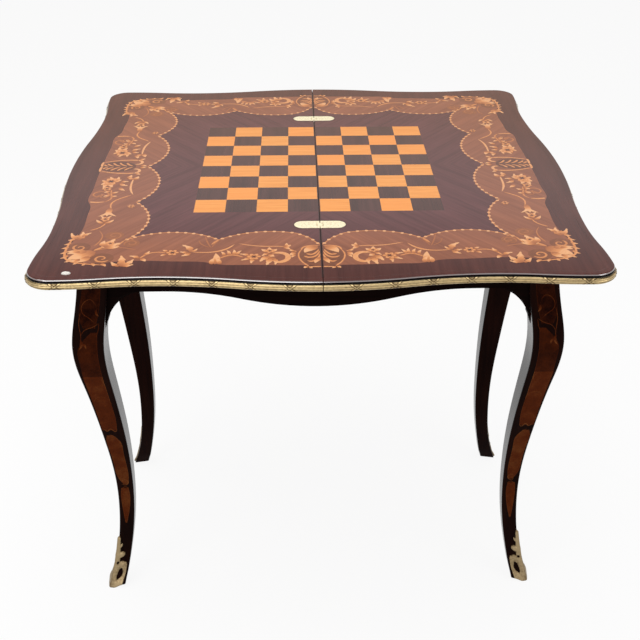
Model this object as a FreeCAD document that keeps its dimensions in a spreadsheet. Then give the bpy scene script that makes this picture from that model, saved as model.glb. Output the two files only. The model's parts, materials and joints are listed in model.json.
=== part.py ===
import FreeCAD, Part
import math
import os
import Sketcher

# A fold-over game table: a serpentine top in two hinged leaves that swivels on a four-legged frame.
# Millimetres, +Z up, the floor at z = 0, the chess board's centre on the Z axis, the front at -Y.
# The top is drawn open: the right leaf turns on the frame, the left leaf folds over onto it.

SIZES = (
    # Outline of the open top, at the nose of its wooden lipping
    ("table_height", 760.0),
    ("top_half_width", 410.5),
    ("side_waist_depth", 14.5),
    ("side_waist_offset", 255.0),
    ("side_corner_setback", 6.5),
    ("top_half_depth", 422.0),
    ("front_waist_depth", 20.0),
    ("front_waist_offset", 235.0),
    ("front_corner_setback", 12.0),
    ("corner_radius", 34.0),
    ("seam_gap", 1.2),
    # Layers of a leaf
    ("leaf_thickness", 15.0),
    ("veneer_thickness", 1.2),
    ("backing_thickness", 1.0),
    ("lipping_width", 10.0),
    ("lipping_height", 4.6),
    ("lipping_round", 4.0),
    ("band_height", 9.8),
    ("band_proud", 3.0),
    ("band_round", 2.6),
    # Chess board and inlaid border
    ("margin_width", 55.5),
    ("margin_depth", 54.0),
    ("border_corner_radius", 40.0),
    ("border_width", 71.0),
    ("border_depth", 78.0),
    ("lobe_rise", 27.0),
    # Link hinges let into the playing surface
    ("hinge_board_gap", 48.0),
    ("plate_reach", 38.5),
    ("plate_width", 26.0),
    ("plate_thickness", 3.4),
    ("pin_setback", 3.2),
    ("pin_depth", 1.6),
    ("pin_radius", 0.9),
    ("pin_clearance", 0.05),
    ("link_radius", 1.45),
    ("link_width", 11.4),
    ("link_clearance", 0.3),
    ("screw_head_radius", 2.6),
    ("screw_head_height", 1.8),
    ("screw_shank_radius", 1.2),
    ("screw_length", 9.0),
    ("screw_end_margin", 7.0),
    ("screw_pair_reach", 15.0),
    ("screw_pair_offset", 8.0),
    # Oval button that keeps the folded leaf off the other
    ("bumper_inset_across", 62.5),
    ("bumper_inset_along", 30.0),
    ("bumper_length", 13.0),
    ("bumper_width", 8.0),
    ("bumper_height", 2.8),
    # Cabriole legs and their cast shoes
    ("leg_inset_across", 47.0),
    ("leg_inset_along", 23.25),
    ("knee_width", 51.4),
    ("ankle_throw", 24.5),
    ("leg_arris_round", 3.0),
    ("sole_thickness", 2.0),
    ("sabot_wall", 2.6),
    # Frame
    ("leaf_clearance", 0.3),
    ("baize_thickness", 1.0),
    ("baize_width", 14.0),
    ("apron_thickness", 22.0),
    ("apron_reveal", 2.0),
    ("apron_depth", 123.0),
    ("front_apron_drop", 30.0),
    ("side_apron_drop", 14.0),
    ("ear_radius", 52.0),
    ("ear_reach", 8.0),
    ("tenon_thickness", 8.0),
    ("tenon_height", 80.0),
    ("tenon_length", 18.0),
    ("tenon_drop", 14.0),
    # Games well
    ("well_depth", 84.0),
    ("well_floor_thickness", 8.0),
    ("well_floor_clearance", 0.5),
    ("ledger_width", 14.0),
    ("ledger_height", 16.0),
    # Swivel
    ("rail_thickness", 25.0),
    ("pivot_plate_radius", 38.0),
    ("pivot_plate_thickness", 4.0),
    ("stud_radius", 7.0),
    ("stud_clearance", 0.05),
    ("bush_radius", 11.0),
    ("bush_flange_radius", 18.0),
    ("bush_flange_thickness", 1.0),
    ("washer_radius", 17.0),
    ("washer_thickness", 2.0),
    ("nut_across_flats", 22.0),
    ("nut_height", 9.0),
    ("pivot_screw_circle", 27.0),
    ("dowel_radius", 6.0),
    ("dowel_length", 20.0),
    ("dowel_socket", 8.0),
    ("stop_block_length", 24.0),
    ("stop_block_height", 40.0),
    ("cut_overrun", 5.0),
)

# Leg sections from the top of the leg down: depth below the frame's top as a share of the leg's length,
# set-out of the centre from the knee as a share of the ankle's throw, width as a share of the knee's.
LEG_DEPTH_SHARES = (0.0, 0.072, 0.140, 0.207, 0.285, 0.408, 0.552, 0.695, 0.818, 0.920, 1.0)
LEG_THROW_SHARES = (-0.73, -0.72, -0.62, -0.34, 0.0, -0.28, -0.79, -1.05, -0.91, -0.45, 0.14)
LEG_WIDTH_SHARES = (0.934, 0.934, 0.940, 0.969, 1.0, 0.880, 0.740, 0.585, 0.520, 0.500, 0.584)

# Shoe sections from the floor up, in the same shares, with the height as a share of the shoe's.
SABOT_HEIGHT_SHARES = (0.0, 0.10, 0.30, 0.60, 1.0)
SABOT_THROW_SHARES = (0.22, 0.104, -0.144, -0.494, -0.778)
SABOT_WIDTH_SHARES = (0.644, 0.613, 0.532, 0.499, 0.5)

# Edge of the shoe on one face of the leg: inwards from the outer arris as a share of the knee's width,
# upwards as a share of the shoe's height. It runs from the heel over two leaf lobes to the tip.
SABOT_EDGE_SHARES = (
    (0.62, 0.0), (0.60, 0.14), (0.55, 0.30), (0.48, 0.43), (0.36, 0.51), (0.20, 0.54),
    (0.34, 0.62), (0.34, 0.68), (0.20, 0.70), (0.16, 0.80), (0.19, 0.90), (0.10, 0.98),
)
SABOT_EYE_SHARES = ((0.30, 0.13), (0.41, 0.22), (0.40, 0.36), (0.30, 0.42), (0.25, 0.30), (0.24, 0.20))

# Side of a square of the board as a share of the top's half width and half depth together.
SQUARE_SHARE = 0.05766
# Place of the cusp between the two lobes of a half edge, from the edge's middle.
LOBE_CUSP_SHARE = 0.52
# Height of the shoe as a share of the leg's length.
SABOT_LEG_SHARE = 0.140
# Half length of an apron's middle drop as a share of the half length between the legs.
FRONT_RUN_SHARE = 0.75
SIDE_RUN_SHARE = 0.543
# Width of the pivot rail and reach of the stop dowel as shares of the stud's distance from the centre.
RAIL_WIDTH_SHARE = 0.681
DOWEL_REACH_SHARE = 1.3

BOARD_SIDE = 8
AXIS = "0"
RIGHT = 1
LEFT = -1
SIDES = ((RIGHT, "right"), (LEFT, "left"))
ENDS = ((1, "back"), (-1, "front"))

doc = FreeCAD.newDocument("game_table")
sheet = doc.addObject("Spreadsheet::Sheet", "Sizes")
for row, (alias, number) in enumerate(SIZES, start=1):
    sheet.set(f"A{row}", alias)
    sheet.set(f"B{row}", str(number))
    sheet.setAlias(f"B{row}", alias)
doc.recompute()

parts = []


# Helpers

def value(expression):
    """Number that a sheet expression gives now."""
    result = sheet.evalExpression(str(expression))
    return float(getattr(result, "Value", result))


def size(alias):
    """Number in one cell of the sheet."""
    return value(f"Sizes.{alias}")


def vector(x, y, z=0.0):
    """Point or direction from its coordinates."""
    return FreeCAD.Vector(x, y, z)


def part(obj, label):
    """Give a finished sub-part its label and list it for export."""
    obj.Label = label
    parts.append(obj)
    return obj


def feature(kind, name, links=None, expressions=None):
    """Document object with its links set and its sizes bound to the sheet."""
    obj = doc.addObject(kind, name)
    for prop, linked in (links or {}).items():
        setattr(obj, prop, linked)
    for prop, expression in (expressions or {}).items():
        obj.setExpression(prop, str(expression))
    return obj


def box(name, low, span):
    """Box from its low corner and its three sides, all given as expressions."""
    sizes = dict(zip(("Length", "Width", "Height"), span))
    sizes.update(zip((".Placement.Base.x", ".Placement.Base.y", ".Placement.Base.z"), low))
    return feature("Part::Box", name, expressions=sizes)


def cylinder(name, centre, radius, height):
    """Upright cylinder from the centre of its lower face."""
    sizes = {"Radius": radius, "Height": height}
    sizes.update(zip((".Placement.Base.x", ".Placement.Base.y", ".Placement.Base.z"), centre))
    return feature("Part::Cylinder", name, expressions=sizes)


def lying_cylinder(name, centre, radius, length):
    """Cylinder along Y from the centre of its end nearest the back."""
    obj = doc.addObject("Part::Cylinder", name)
    obj.Placement = FreeCAD.Placement(vector(0, 0), FreeCAD.Rotation(vector(1, 0), 90))
    places = zip((".Placement.Base.x", ".Placement.Base.y", ".Placement.Base.z"), centre)
    for prop, expression in (("Radius", radius), ("Height", length), *places):
        obj.setExpression(prop, expression)
    return obj


def screw(name, centre, face, downwards):
    """Countersunk screw with its head flush in a face, pointing down or up from it."""
    level = f"{face} - Sizes.screw_length" if downwards else face
    shank = cylinder(f"{name}_shank", (*centre, level), "Sizes.screw_shank_radius", "Sizes.screw_length")
    radii = ["Sizes.screw_shank_radius", "Sizes.screw_head_radius"]
    low, high = radii if downwards else reversed(radii)
    head = feature("Part::Cone", f"{name}_head", expressions={
        "Radius1": low,
        "Radius2": high,
        "Height": "Sizes.screw_head_height",
        ".Placement.Base.x": centre[0],
        ".Placement.Base.y": centre[1],
        ".Placement.Base.z": f"{face} - Sizes.screw_head_height" if downwards else face,
    })
    return fuse(name, [shank, head])


def cut(name, base, tool):
    """First shape less the second."""
    return feature("Part::Cut", name, {"Base": base, "Tool": tool})


def fuse(name, shapes):
    """Shapes joined into one."""
    return feature("Part::MultiFuse", name, {"Shapes": shapes})


def group(name, members):
    """Separate solids kept together in one node."""
    return feature("Part::Compound", name, {"Links": members})


def mirrored(name, source, normal):
    """Copy of a piece on the other side of the table's centre plane."""
    return feature("Part::Mirroring", name, {"Source": source, "Normal": normal})


def flat_face(name, face, height):
    """Flat outline at a height, kept as its own object."""
    obj = doc.addObject("Part::Feature", name)
    obj.Shape = face
    obj.setExpression(".Placement.Base.z", height)
    return obj


def extruded(name, face, height, thickness):
    """Slab that rises from an outline at a height."""
    profile = flat_face(f"{name}_outline", face, height)
    links = {"Base": profile, "DirMode": "Custom", "Dir": vector(0, 0, 1), "Solid": True}
    return feature("Part::Extrusion", name, links, {"LengthFwd": thickness})


def origin_plane(body, role):
    """One of the body's own three planes."""
    return next(plane for plane in body.Origin.OriginFeatures if plane.Role == role)


def sketch_in(body, name, role, lift):
    """Sketch on one of the body's own planes, lifted along the plane's normal."""
    sketch = body.newObject("Sketcher::SketchObject", name)
    sketch.AttachmentSupport = [(origin_plane(body, role), "")]
    sketch.MapMode = "FlatFace"
    sketch.setExpression(".AttachmentOffset.Base.z", str(lift))
    return sketch


def constrain(sketch, name, kind, places, expression):
    """Dimension in a sketch, named and bound to the sheet."""
    index = sketch.addConstraint(Sketcher.Constraint(kind, *places, value(expression)))
    sketch.renameConstraint(index, name)
    sketch.setExpression(f"Constraints.{name}", str(expression))


def rectangle(sketch, low, span):
    """Rectangle in a sketch from its low corner and its two sides, as expressions."""
    x, y = value(low[0]), value(low[1])
    wide, high = value(span[0]), value(span[1])
    corners = [vector(x, y), vector(x + wide, y), vector(x + wide, y + high), vector(x, y + high)]
    for index, corner in enumerate(corners):
        sketch.addGeometry(Part.LineSegment(corner, corners[(index + 1) % len(corners)]), False)
    for index in range(len(corners)):
        following = (index + 1) % len(corners)
        sketch.addConstraint(Sketcher.Constraint("Coincident", index, 2, following, 1))
        kind = "Vertical" if index % 2 else "Horizontal"
        sketch.addConstraint(Sketcher.Constraint(kind, index))
    constrain(sketch, "wide", "DistanceX", (0, 1, 0, 2), span[0])
    constrain(sketch, "high", "DistanceY", (1, 1, 1, 2), span[1])
    constrain(sketch, "low_x", "DistanceX", (-1, 1, 0, 1), low[0])
    constrain(sketch, "low_y", "DistanceY", (-1, 1, 0, 1), low[1])


def new_body(name):
    """Empty body for sketched features."""
    return doc.addObject("PartDesign::Body", name)


def pad(body, sketch, length):
    """Solid raised from a sketch."""
    raised = body.newObject("PartDesign::Pad", f"{sketch.Name}_pad")
    raised.Profile = sketch
    raised.setExpression("Length", str(length))
    return raised


def revolved(name, profile, across, along):
    """Turned piece about an upright axis, from (radius, height) expressions of a closed profile."""
    body = new_body(name)
    sketch = sketch_in(body, f"{name}_profile", "XZ_Plane", "0")
    points = [vector(value(radius), value(height)) for radius, height in profile]
    count = len(points)
    for index, point in enumerate(points):
        sketch.addGeometry(Part.LineSegment(point, points[(index + 1) % count]), False)
    for index in range(count):
        sketch.addConstraint(Sketcher.Constraint("Coincident", index, 2, (index + 1) % count, 1))
    for index, (radius, height) in enumerate(profile):
        if radius == AXIS:
            sketch.addConstraint(Sketcher.Constraint("PointOnObject", index, 1, -2))
        else:
            constrain(sketch, f"radius_{index}", "DistanceX", (-1, 1, index, 1), radius)
        constrain(sketch, f"height_{index}", "DistanceY", (-1, 1, index, 1), height)
    turn = body.newObject("PartDesign::Revolution", f"{name}_turn")
    turn.Profile = sketch
    turn.ReferenceAxis = (sketch, ["V_Axis"])
    body.setExpression(".Placement.Base.x", across)
    body.setExpression(".Placement.Base.y", along)
    return body


# Shared places

TOP = "Sizes.table_height"
VENEER_LOW = "Sizes.table_height - Sizes.veneer_thickness"
LEAF_LOW = "Sizes.table_height - Sizes.leaf_thickness"
CORE_LOW = f"{LEAF_LOW} + Sizes.backing_thickness"
LIPPING_LOW = "Sizes.table_height - Sizes.lipping_height"
FRAME_TOP = f"({LEAF_LOW} - Sizes.leaf_clearance - Sizes.baize_thickness)"
LEG_LENGTH = f"({FRAME_TOP} - Sizes.sole_thickness)"
PLATE_LOW = "Sizes.table_height - Sizes.plate_thickness"
PIN_HEIGHT = "Sizes.table_height - Sizes.pin_depth"
SEAM = "Sizes.seam_gap / 2"
PIVOT = f"((Sizes.top_half_width + {SEAM}) / 4)"
RAIL_WIDTH = f"({RAIL_WIDTH_SHARE} * {PIVOT})"
BORDER_HALF_WIDTH = "(Sizes.top_half_width - Sizes.margin_width)"
BORDER_HALF_DEPTH = "(Sizes.top_half_depth - Sizes.margin_depth)"
LOBE_HALF_WIDTH = f"({BORDER_HALF_WIDTH} - Sizes.border_width)"
LOBE_HALF_DEPTH = f"({BORDER_HALF_DEPTH} - Sizes.border_depth)"
SQUARE = f"({SQUARE_SHARE} * (Sizes.top_half_width + Sizes.top_half_depth))"
HINGE_OFFSET = f"({BOARD_SIDE} / 2 * {SQUARE} + Sizes.hinge_board_gap)"
SABOT_HEIGHT = f"({SABOT_LEG_SHARE} * {LEG_LENGTH})"
# The closed top has the open one's depth as its width and half of its width as its depth.
LEG_ACROSS = "(Sizes.top_half_depth - Sizes.leg_inset_across)"
LEG_ALONG = "(Sizes.top_half_width / 2 - Sizes.leg_inset_along)"
LEG_CENTRES = {"across": LEG_ACROSS, "along": LEG_ALONG}
LEG_TOP_SET = f"({LEG_THROW_SHARES[0]} * Sizes.ankle_throw)"
LEG_TOP_HALF = f"({LEG_WIDTH_SHARES[0]} * Sizes.knee_width / 2)"
FRAME_HALF_WIDTH = f"({LEG_ACROSS} + {LEG_TOP_SET} + {LEG_TOP_HALF} - Sizes.apron_reveal)"
FRAME_HALF_DEPTH = f"({LEG_ALONG} + {LEG_TOP_SET} + {LEG_TOP_HALF} - Sizes.apron_reveal)"
INNER_HALF_WIDTH = f"({FRAME_HALF_WIDTH} - Sizes.apron_thickness)"
INNER_HALF_DEPTH = f"({FRAME_HALF_DEPTH} - Sizes.apron_thickness)"
LEG_INNER_ACROSS = f"({LEG_ACROSS} + {LEG_TOP_SET} - {LEG_TOP_HALF})"
LEG_INNER_ALONG = f"({LEG_ALONG} + {LEG_TOP_SET} - {LEG_TOP_HALF})"
FRONT_RUN = f"({FRONT_RUN_SHARE} * {LEG_INNER_ACROSS})"
SIDE_RUN = f"({SIDE_RUN_SHARE} * {LEG_INNER_ALONG})"
ACROSS = vector(1, 0, 0)
ALONG = vector(0, 1, 0)


# Outlines of the top

def arc_edge(centre, radius, start, end, side, end_sign):
    """Arc of a circle in the back right quarter, mirrored into the quarter that the signs name."""
    points = []
    for angle in (start, (start + end) / 2, end):
        x = centre[0] + radius * math.cos(angle)
        y = centre[1] + radius * math.sin(angle)
        points.append(vector(side * x, end_sign * y))
    return Part.Arc(*points).toShape()


def wave_radius(run, rise):
    """Radius of the two equal arcs of an S-curve that is level at both ends."""
    return (run ** 2 + rise ** 2) / (4 * rise)


def quarter_arcs(offset):
    """Tangent arcs from the middle of the back edge round the corner to the middle of the side.

    Each S-curve is two equal arcs between a level bulge, waist or corner; the offset moves outwards.
    """
    width, depth = size("top_half_width"), size("top_half_depth")
    waist_x, waist_y = size("front_waist_offset"), size("side_waist_offset")
    waist_width = width - size("side_waist_depth")
    waist_depth = depth - size("front_waist_depth")
    corner_width = width - size("side_corner_setback")
    corner_depth = depth - size("front_corner_setback")
    rounding = size("corner_radius")
    corner_x, corner_y = corner_width - rounding, corner_depth - rounding
    back = wave_radius(waist_x, depth - waist_depth)
    back_corner = wave_radius(corner_x - waist_x, corner_depth - waist_depth)
    side_corner = wave_radius(corner_y - waist_y, corner_width - waist_width)
    flank = wave_radius(waist_y, width - waist_width)
    turn_back = math.asin(waist_x / 2 / back)
    turn_back_corner = math.asin((corner_x - waist_x) / 2 / back_corner)
    turn_side_corner = math.asin((corner_y - waist_y) / 2 / side_corner)
    turn_flank = math.asin(waist_y / 2 / flank)
    up, down, out, inward = math.pi / 2, 3 * math.pi / 2, 0.0, math.pi
    seam = math.asin(size("seam_gap") / 2 / (back + offset))
    return (
        ((0, depth - back), back + offset, up - seam, up - turn_back),
        ((waist_x, waist_depth + back), back - offset, down - turn_back, down),
        ((waist_x, waist_depth + back_corner), back_corner - offset, down, down + turn_back_corner),
        ((corner_x, corner_depth - back_corner), back_corner + offset, up + turn_back_corner, up),
        ((corner_x, corner_y), rounding + offset, up, out),
        ((corner_width - side_corner, corner_y), side_corner + offset, out, -turn_side_corner),
        ((waist_width + side_corner, waist_y), side_corner - offset, inward - turn_side_corner, inward),
        ((waist_width + flank, waist_y), flank - offset, inward, inward + turn_flank),
        ((width - flank, 0), flank + offset, turn_flank, out),
    )


def closed_face(edges):
    """Flat face inside a closed run of edges."""
    return Part.Face(Part.Wire(Part.__sortEdges__(edges)))


def leaf_face(side, offset):
    """Plan of one leaf, from the seam to the outline moved outwards by the offset."""
    arcs = quarter_arcs(offset)
    edges = [arc_edge(*arc, side, end) for end in (1, -1) for arc in arcs]
    centre, radius, start, _ = arcs[0]
    seam = side * size("seam_gap") / 2
    reach = centre[1] + radius * math.sin(start)
    edges.append(Part.LineSegment(vector(seam, -reach), vector(seam, reach)).toShape())
    return closed_face(edges)


def border_outer_face(side):
    """Outer limit of the inlaid border on one leaf: a rectangle with rounded outer corners."""
    seam = size("seam_gap") / 2
    wide, deep = value(BORDER_HALF_WIDTH), value(BORDER_HALF_DEPTH)
    rounding = size("border_corner_radius")
    edges = []
    for end in (1, -1):
        start = vector(side * seam, end * deep)
        bend = vector(side * (wide - rounding), end * deep)
        edges.append(Part.LineSegment(start, bend).toShape())
        edges.append(arc_edge((wide - rounding, deep - rounding), rounding, math.pi / 2, 0.0, side, end))
    low = vector(side * wide, rounding - deep)
    edges.append(Part.LineSegment(low, vector(side * wide, deep - rounding)).toShape())
    edges.append(Part.LineSegment(vector(side * seam, -deep), vector(side * seam, deep)).toShape())
    return closed_face(edges)


def border_inner_face(side):
    """Inner limit of the border: lobes that swell towards the board and meet in cusps."""
    seam = size("seam_gap") / 2
    wide, deep, rise = value(LOBE_HALF_WIDTH), value(LOBE_HALF_DEPTH), size("lobe_rise")
    cusp_x, cusp_y = LOBE_CUSP_SHARE * wide, LOBE_CUSP_SHARE * deep
    half_chord = cusp_x / 2
    radius = (half_chord ** 2 + rise ** 2) / (2 * rise)
    seam_depth = deep - rise + radius - math.sqrt(radius ** 2 - (half_chord - seam) ** 2)
    edges = []
    for end in (1, -1):
        cusps = (
            ((seam, seam_depth), (cusp_x / 2, deep - rise), (cusp_x, deep)),
            ((cusp_x, deep), ((cusp_x + wide) / 2, deep - rise), (wide, deep)),
            ((wide, deep), (wide - rise, (cusp_y + deep) / 2), (wide, cusp_y)),
            ((wide, cusp_y), (wide - rise, cusp_y / 2), (wide, 0)),
        )
        for lobe in cusps:
            edges.append(Part.Arc(*[vector(side * x, end * y) for x, y in lobe]).toShape())
    low = vector(side * seam, -seam_depth)
    edges.append(Part.LineSegment(low, vector(side * seam, seam_depth)).toShape())
    return closed_face(edges)


def board_face(side):
    """Plan of the half of the chess board on one leaf."""
    seam = size("seam_gap") / 2
    reach = BOARD_SIDE / 2 * value(SQUARE)
    places = ((seam, -reach), (reach, -reach), (reach, reach), (seam, reach))
    corners = [vector(side * x, y) for x, y in places]
    return Part.Face(Part.makePolygon(corners + corners[:1]))


def plate_face(side, end):
    """Plan of one hinge plate: square at the seam, round at the other end."""
    seam, reach, half = size("seam_gap") / 2, size("plate_reach"), size("plate_width") / 2
    middle = end * value(HINGE_OFFSET)
    straight = side * (reach - half)
    low, high = vector(straight, middle - half), vector(straight, middle + half)
    seam_low, seam_high = vector(side * seam, middle - half), vector(side * seam, middle + half)
    edges = [
        Part.LineSegment(seam_low, low).toShape(),
        Part.Arc(low, vector(side * reach, middle), high).toShape(),
        Part.LineSegment(high, seam_high).toShape(),
        Part.LineSegment(seam_high, seam_low).toShape(),
    ]
    return closed_face(edges)


# Hinges: two plates on each leaf, pins in the plates and links between the pins

def hinge_screws(side, name):
    """Screws of the two plates on one leaf: one near the round end, a pair nearer the seam."""
    places = (
        ("(Sizes.plate_reach - Sizes.screw_end_margin)", "0"),
        ("Sizes.screw_pair_reach", "Sizes.screw_pair_offset"),
        ("Sizes.screw_pair_reach", "-Sizes.screw_pair_offset"),
    )
    screws = []
    for end, end_name in ENDS:
        for index, (out, along) in enumerate(places):
            centre = (f"{side} * {out}", f"{end} * {HINGE_OFFSET} + {along}")
            screws.append(screw(f"{name}_{end_name}_screw_{index}", centre, TOP, True))
    return group(f"{name}_screw_set", screws)


def hinge_pins(side, name):
    """Pins of the two plates on one leaf, lying along the seam."""
    pins = []
    for end, end_name in ENDS:
        far_end = f"{end} * {HINGE_OFFSET} + Sizes.plate_width / 2"
        centre = (f"{side} * Sizes.pin_setback", far_end, PIN_HEIGHT)
        pin = lying_cylinder(f"{name}_{end_name}_pin", centre, "Sizes.pin_radius", "Sizes.plate_width")
        pins.append(pin)
    return group(f"{name}_pin_set", pins)


def hinge_plate(side, name, end, end_name, fittings):
    """Plate with a slot for the link, cut to its pin and its countersunk screws."""
    stem = f"{end_name}_{name}_plate"
    blank = extruded(f"{stem}_blank", plate_face(side, end), PLATE_LOW, "Sizes.plate_thickness")
    reach = "(Sizes.pin_setback + Sizes.link_radius + Sizes.link_clearance)"
    width = "(Sizes.link_width + 2 * Sizes.link_clearance)"
    low = ("0" if side == RIGHT else f"-{reach}", f"{end} * {HINGE_OFFSET} - {width} / 2", PLATE_LOW)
    slot = box(f"{stem}_slot", low, (reach, width, "Sizes.plate_thickness"))
    tools = fuse(f"{stem}_cuts", [slot, *fittings])
    return part(cut(stem, blank, tools), f"{end_name}_{name}_hinge_plate")


def hinge_link(end, end_name):
    """Link between the two pins of one hinge: a flat bar with round ends, bored for the pins."""
    body = new_body(f"{end_name}_link_body")
    far_side = f"({end} * {HINGE_OFFSET} + Sizes.link_width / 2)"
    sketch = sketch_in(body, f"{end_name}_link_profile", "XZ_Plane", f"-{far_side}")
    reach, radius, height = size("pin_setback"), size("link_radius"), value(PIN_HEIGHT)
    right_low, right_high = vector(reach, height - radius), vector(reach, height + radius)
    left_low, left_high = vector(-reach, height - radius), vector(-reach, height + radius)
    right_tip, left_tip = vector(reach + radius, height), vector(-reach - radius, height)
    sketch.addGeometry(Part.LineSegment(left_low, right_low), False)
    sketch.addGeometry(Part.Arc(right_low, right_tip, right_high), False)
    sketch.addGeometry(Part.LineSegment(right_high, left_high), False)
    sketch.addGeometry(Part.Arc(left_high, left_tip, left_low), False)
    for line, line_point, arc, arc_point in ((0, 2, 1, 1), (2, 1, 1, 2), (2, 2, 3, 1), (0, 1, 3, 2)):
        sketch.addConstraint(Sketcher.Constraint("Tangent", line, line_point, arc, arc_point))
    sketch.addConstraint(Sketcher.Constraint("Horizontal", 0))
    sketch.addConstraint(Sketcher.Constraint("Symmetric", 1, 3, 3, 3, -2))
    constrain(sketch, "round", "Radius", (1,), "Sizes.link_radius")
    constrain(sketch, "reach", "DistanceX", (-1, 1, 1, 3), "Sizes.pin_setback")
    constrain(sketch, "height", "DistanceY", (-1, 1, 1, 3), PIN_HEIGHT)
    body.Tip = pad(body, sketch, "Sizes.link_width")
    bores = []
    for side, side_name in SIDES:
        centre = (f"{side} * Sizes.pin_setback", f"{far_side} + Sizes.cut_overrun", PIN_HEIGHT)
        bores.append(lying_cylinder(f"{end_name}_{side_name}_link_bore", centre,
                                    "Sizes.pin_radius + Sizes.pin_clearance",
                                    "Sizes.link_width + 2 * Sizes.cut_overrun"))
    bored = cut(f"{end_name}_link", body, fuse(f"{end_name}_link_bores", bores))
    return part(bored, f"{end_name}_hinge_link")


# Leaves

def outline_wire(side, offset, height):
    """Curved edge of one leaf at an offset and a height, without the seam."""
    edges = [arc_edge(*arc, side, end) for end in (1, -1) for arc in quarter_arcs(offset)]
    wire = Part.Wire(Part.__sortEdges__(edges))
    wire.translate(vector(0, 0, value(height)))
    return wire


def edges_on(shape, wire):
    """Numbers of the shape's edges whose ends and middle lie on the wire."""
    chosen = []
    for index, edge in enumerate(shape.Edges, start=1):
        first, last = edge.ParameterRange
        points = [edge.valueAt(parameter) for parameter in (first, (first + last) / 2, last)]
        if all(wire.distToShape(Part.Vertex(point))[0] < 2 * edge.Tolerance for point in points):
            chosen.append(index)
    return chosen


def moulding(name, side, offsets, height, thickness, radius, round_heights):
    """Strip between two offsets of the outline, with its outer edges rounded at the heights given."""
    inner, outer = (value(offset) for offset in offsets)
    plan = leaf_face(side, outer).cut(leaf_face(side, inner))
    slab = extruded(f"{name}_strip", plan, height, thickness)
    doc.recompute()
    rounding = value(radius)
    edges = []
    for level in round_heights:
        edges += edges_on(slab.Shape, outline_wire(side, outer, level))
    soft = feature("Part::Fillet", f"{name}_rounded", {"Base": slab})
    soft.Edges = [(edge, rounding, rounding) for edge in edges]
    return part(soft, name)


def squares(side, name, light):
    """Light or dark squares of the half board on one leaf, each a slip of veneer."""
    half = BOARD_SIDE // 2
    slips = []
    for column in range(half):
        for row in range(BOARD_SIDE):
            from_left = half + column if side == RIGHT else half - 1 - column
            if (from_left + row) % 2 != int(light):
                continue
            near = SEAM if column == 0 else f"{column} * {SQUARE}"
            wide = f"{column + 1} * {SQUARE} - {near}"
            low_x = near if side == RIGHT else f"-{column + 1} * {SQUARE}"
            low = (low_x, f"{half - 1 - row} * {SQUARE}", VENEER_LOW)
            tone = "light" if light else "dark"
            slips.append(box(f"{name}_{tone}_{column}_{row}", low, (wide, SQUARE, "Sizes.veneer_thickness")))
    return group(f"{name}_{'light' if light else 'dark'}_slips", slips)


def leaf(side, name, extra_cuts):
    """One leaf of the top: core, veneers, lipping, brass band and its half of the hinges."""
    screws = hinge_screws(side, name)
    pins = hinge_pins(side, name)
    mortises = []
    for end, end_name in ENDS:
        hinge_plate(side, name, end, end_name, [screws, pins])
        mortises.append(extruded(f"{end_name}_{name}_mortise", plate_face(side, end),
                                 PLATE_LOW, "Sizes.plate_thickness"))
    part(screws, f"{name}_hinge_screws")
    part(pins, f"{name}_hinge_pins")
    lipping_inset = -size("lipping_width")
    lower = extruded(f"{name}_core_lower", leaf_face(side, 0), CORE_LOW, f"{LIPPING_LOW} - ({CORE_LOW})")
    upper = extruded(f"{name}_core_upper", leaf_face(side, lipping_inset), LIPPING_LOW,
                     f"{VENEER_LOW} - ({LIPPING_LOW})")
    blank = fuse(f"{name}_core_blank", [lower, upper])
    tools = fuse(f"{name}_core_cuts", [*mortises, screws, *extra_cuts])
    part(cut(f"{name}_core", blank, tools), f"{name}_leaf_core")
    backing = extruded(f"{name}_backing_sheet", leaf_face(side, 0), LEAF_LOW, "Sizes.backing_thickness")
    if extra_cuts:
        backing = cut(f"{name}_backing_cut", backing, fuse(f"{name}_backing_cuts", extra_cuts))
    part(backing, f"{name}_leaf_backing")
    moulding(f"{name}_leaf_lipping", side, ("-Sizes.lipping_width", "0"), LIPPING_LOW,
             "Sizes.lipping_height", "Sizes.lipping_round", (TOP,))
    moulding(f"{name}_leaf_band", side, ("0", "Sizes.band_proud"), LEAF_LOW,
             "Sizes.band_height", "Sizes.band_round", (LEAF_LOW, f"{LEAF_LOW} + Sizes.band_height"))
    margin = leaf_face(side, lipping_inset).cut(border_outer_face(side))
    border = border_outer_face(side).cut(border_inner_face(side))
    field = border_inner_face(side).cut(board_face(side))
    for end, _ in ENDS:
        plate = plate_face(side, end)
        border = border.cut(plate)
        field = field.cut(plate)
    for layer, plan in (("margin", margin), ("border", border), ("field", field)):
        sheet_name = f"{name}_{layer}_veneer"
        part(extruded(sheet_name, plan, VENEER_LOW, "Sizes.veneer_thickness"), sheet_name)
    part(squares(side, name, True), f"{name}_light_squares")
    part(squares(side, name, False), f"{name}_dark_squares")


def bumper():
    """Domed oval button on the margin near the front corner of the left leaf."""
    across = "(Sizes.bumper_inset_across - Sizes.top_half_width)"
    along = "(Sizes.bumper_inset_along - Sizes.top_half_depth)"
    dome = feature("Part::Ellipsoid", "bumper_dome", expressions={
        "Radius1": "Sizes.bumper_height",
        "Radius2": "Sizes.bumper_length / 2",
        "Radius3": "Sizes.bumper_width / 2",
        ".Placement.Base.x": across,
        ".Placement.Base.y": along,
        ".Placement.Base.z": TOP,
    })
    above = box("bumper_above",
                (f"{across} - Sizes.bumper_length", f"{along} - Sizes.bumper_length", TOP),
                ("2 * Sizes.bumper_length", "2 * Sizes.bumper_length", "2 * Sizes.bumper_height"))
    return part(feature("Part::Common", "bumper_cap", {"Base": dome, "Tool": above}), "leaf_bumper")


# Legs and shoes, drawn in the back right quarter and mirrored

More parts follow.
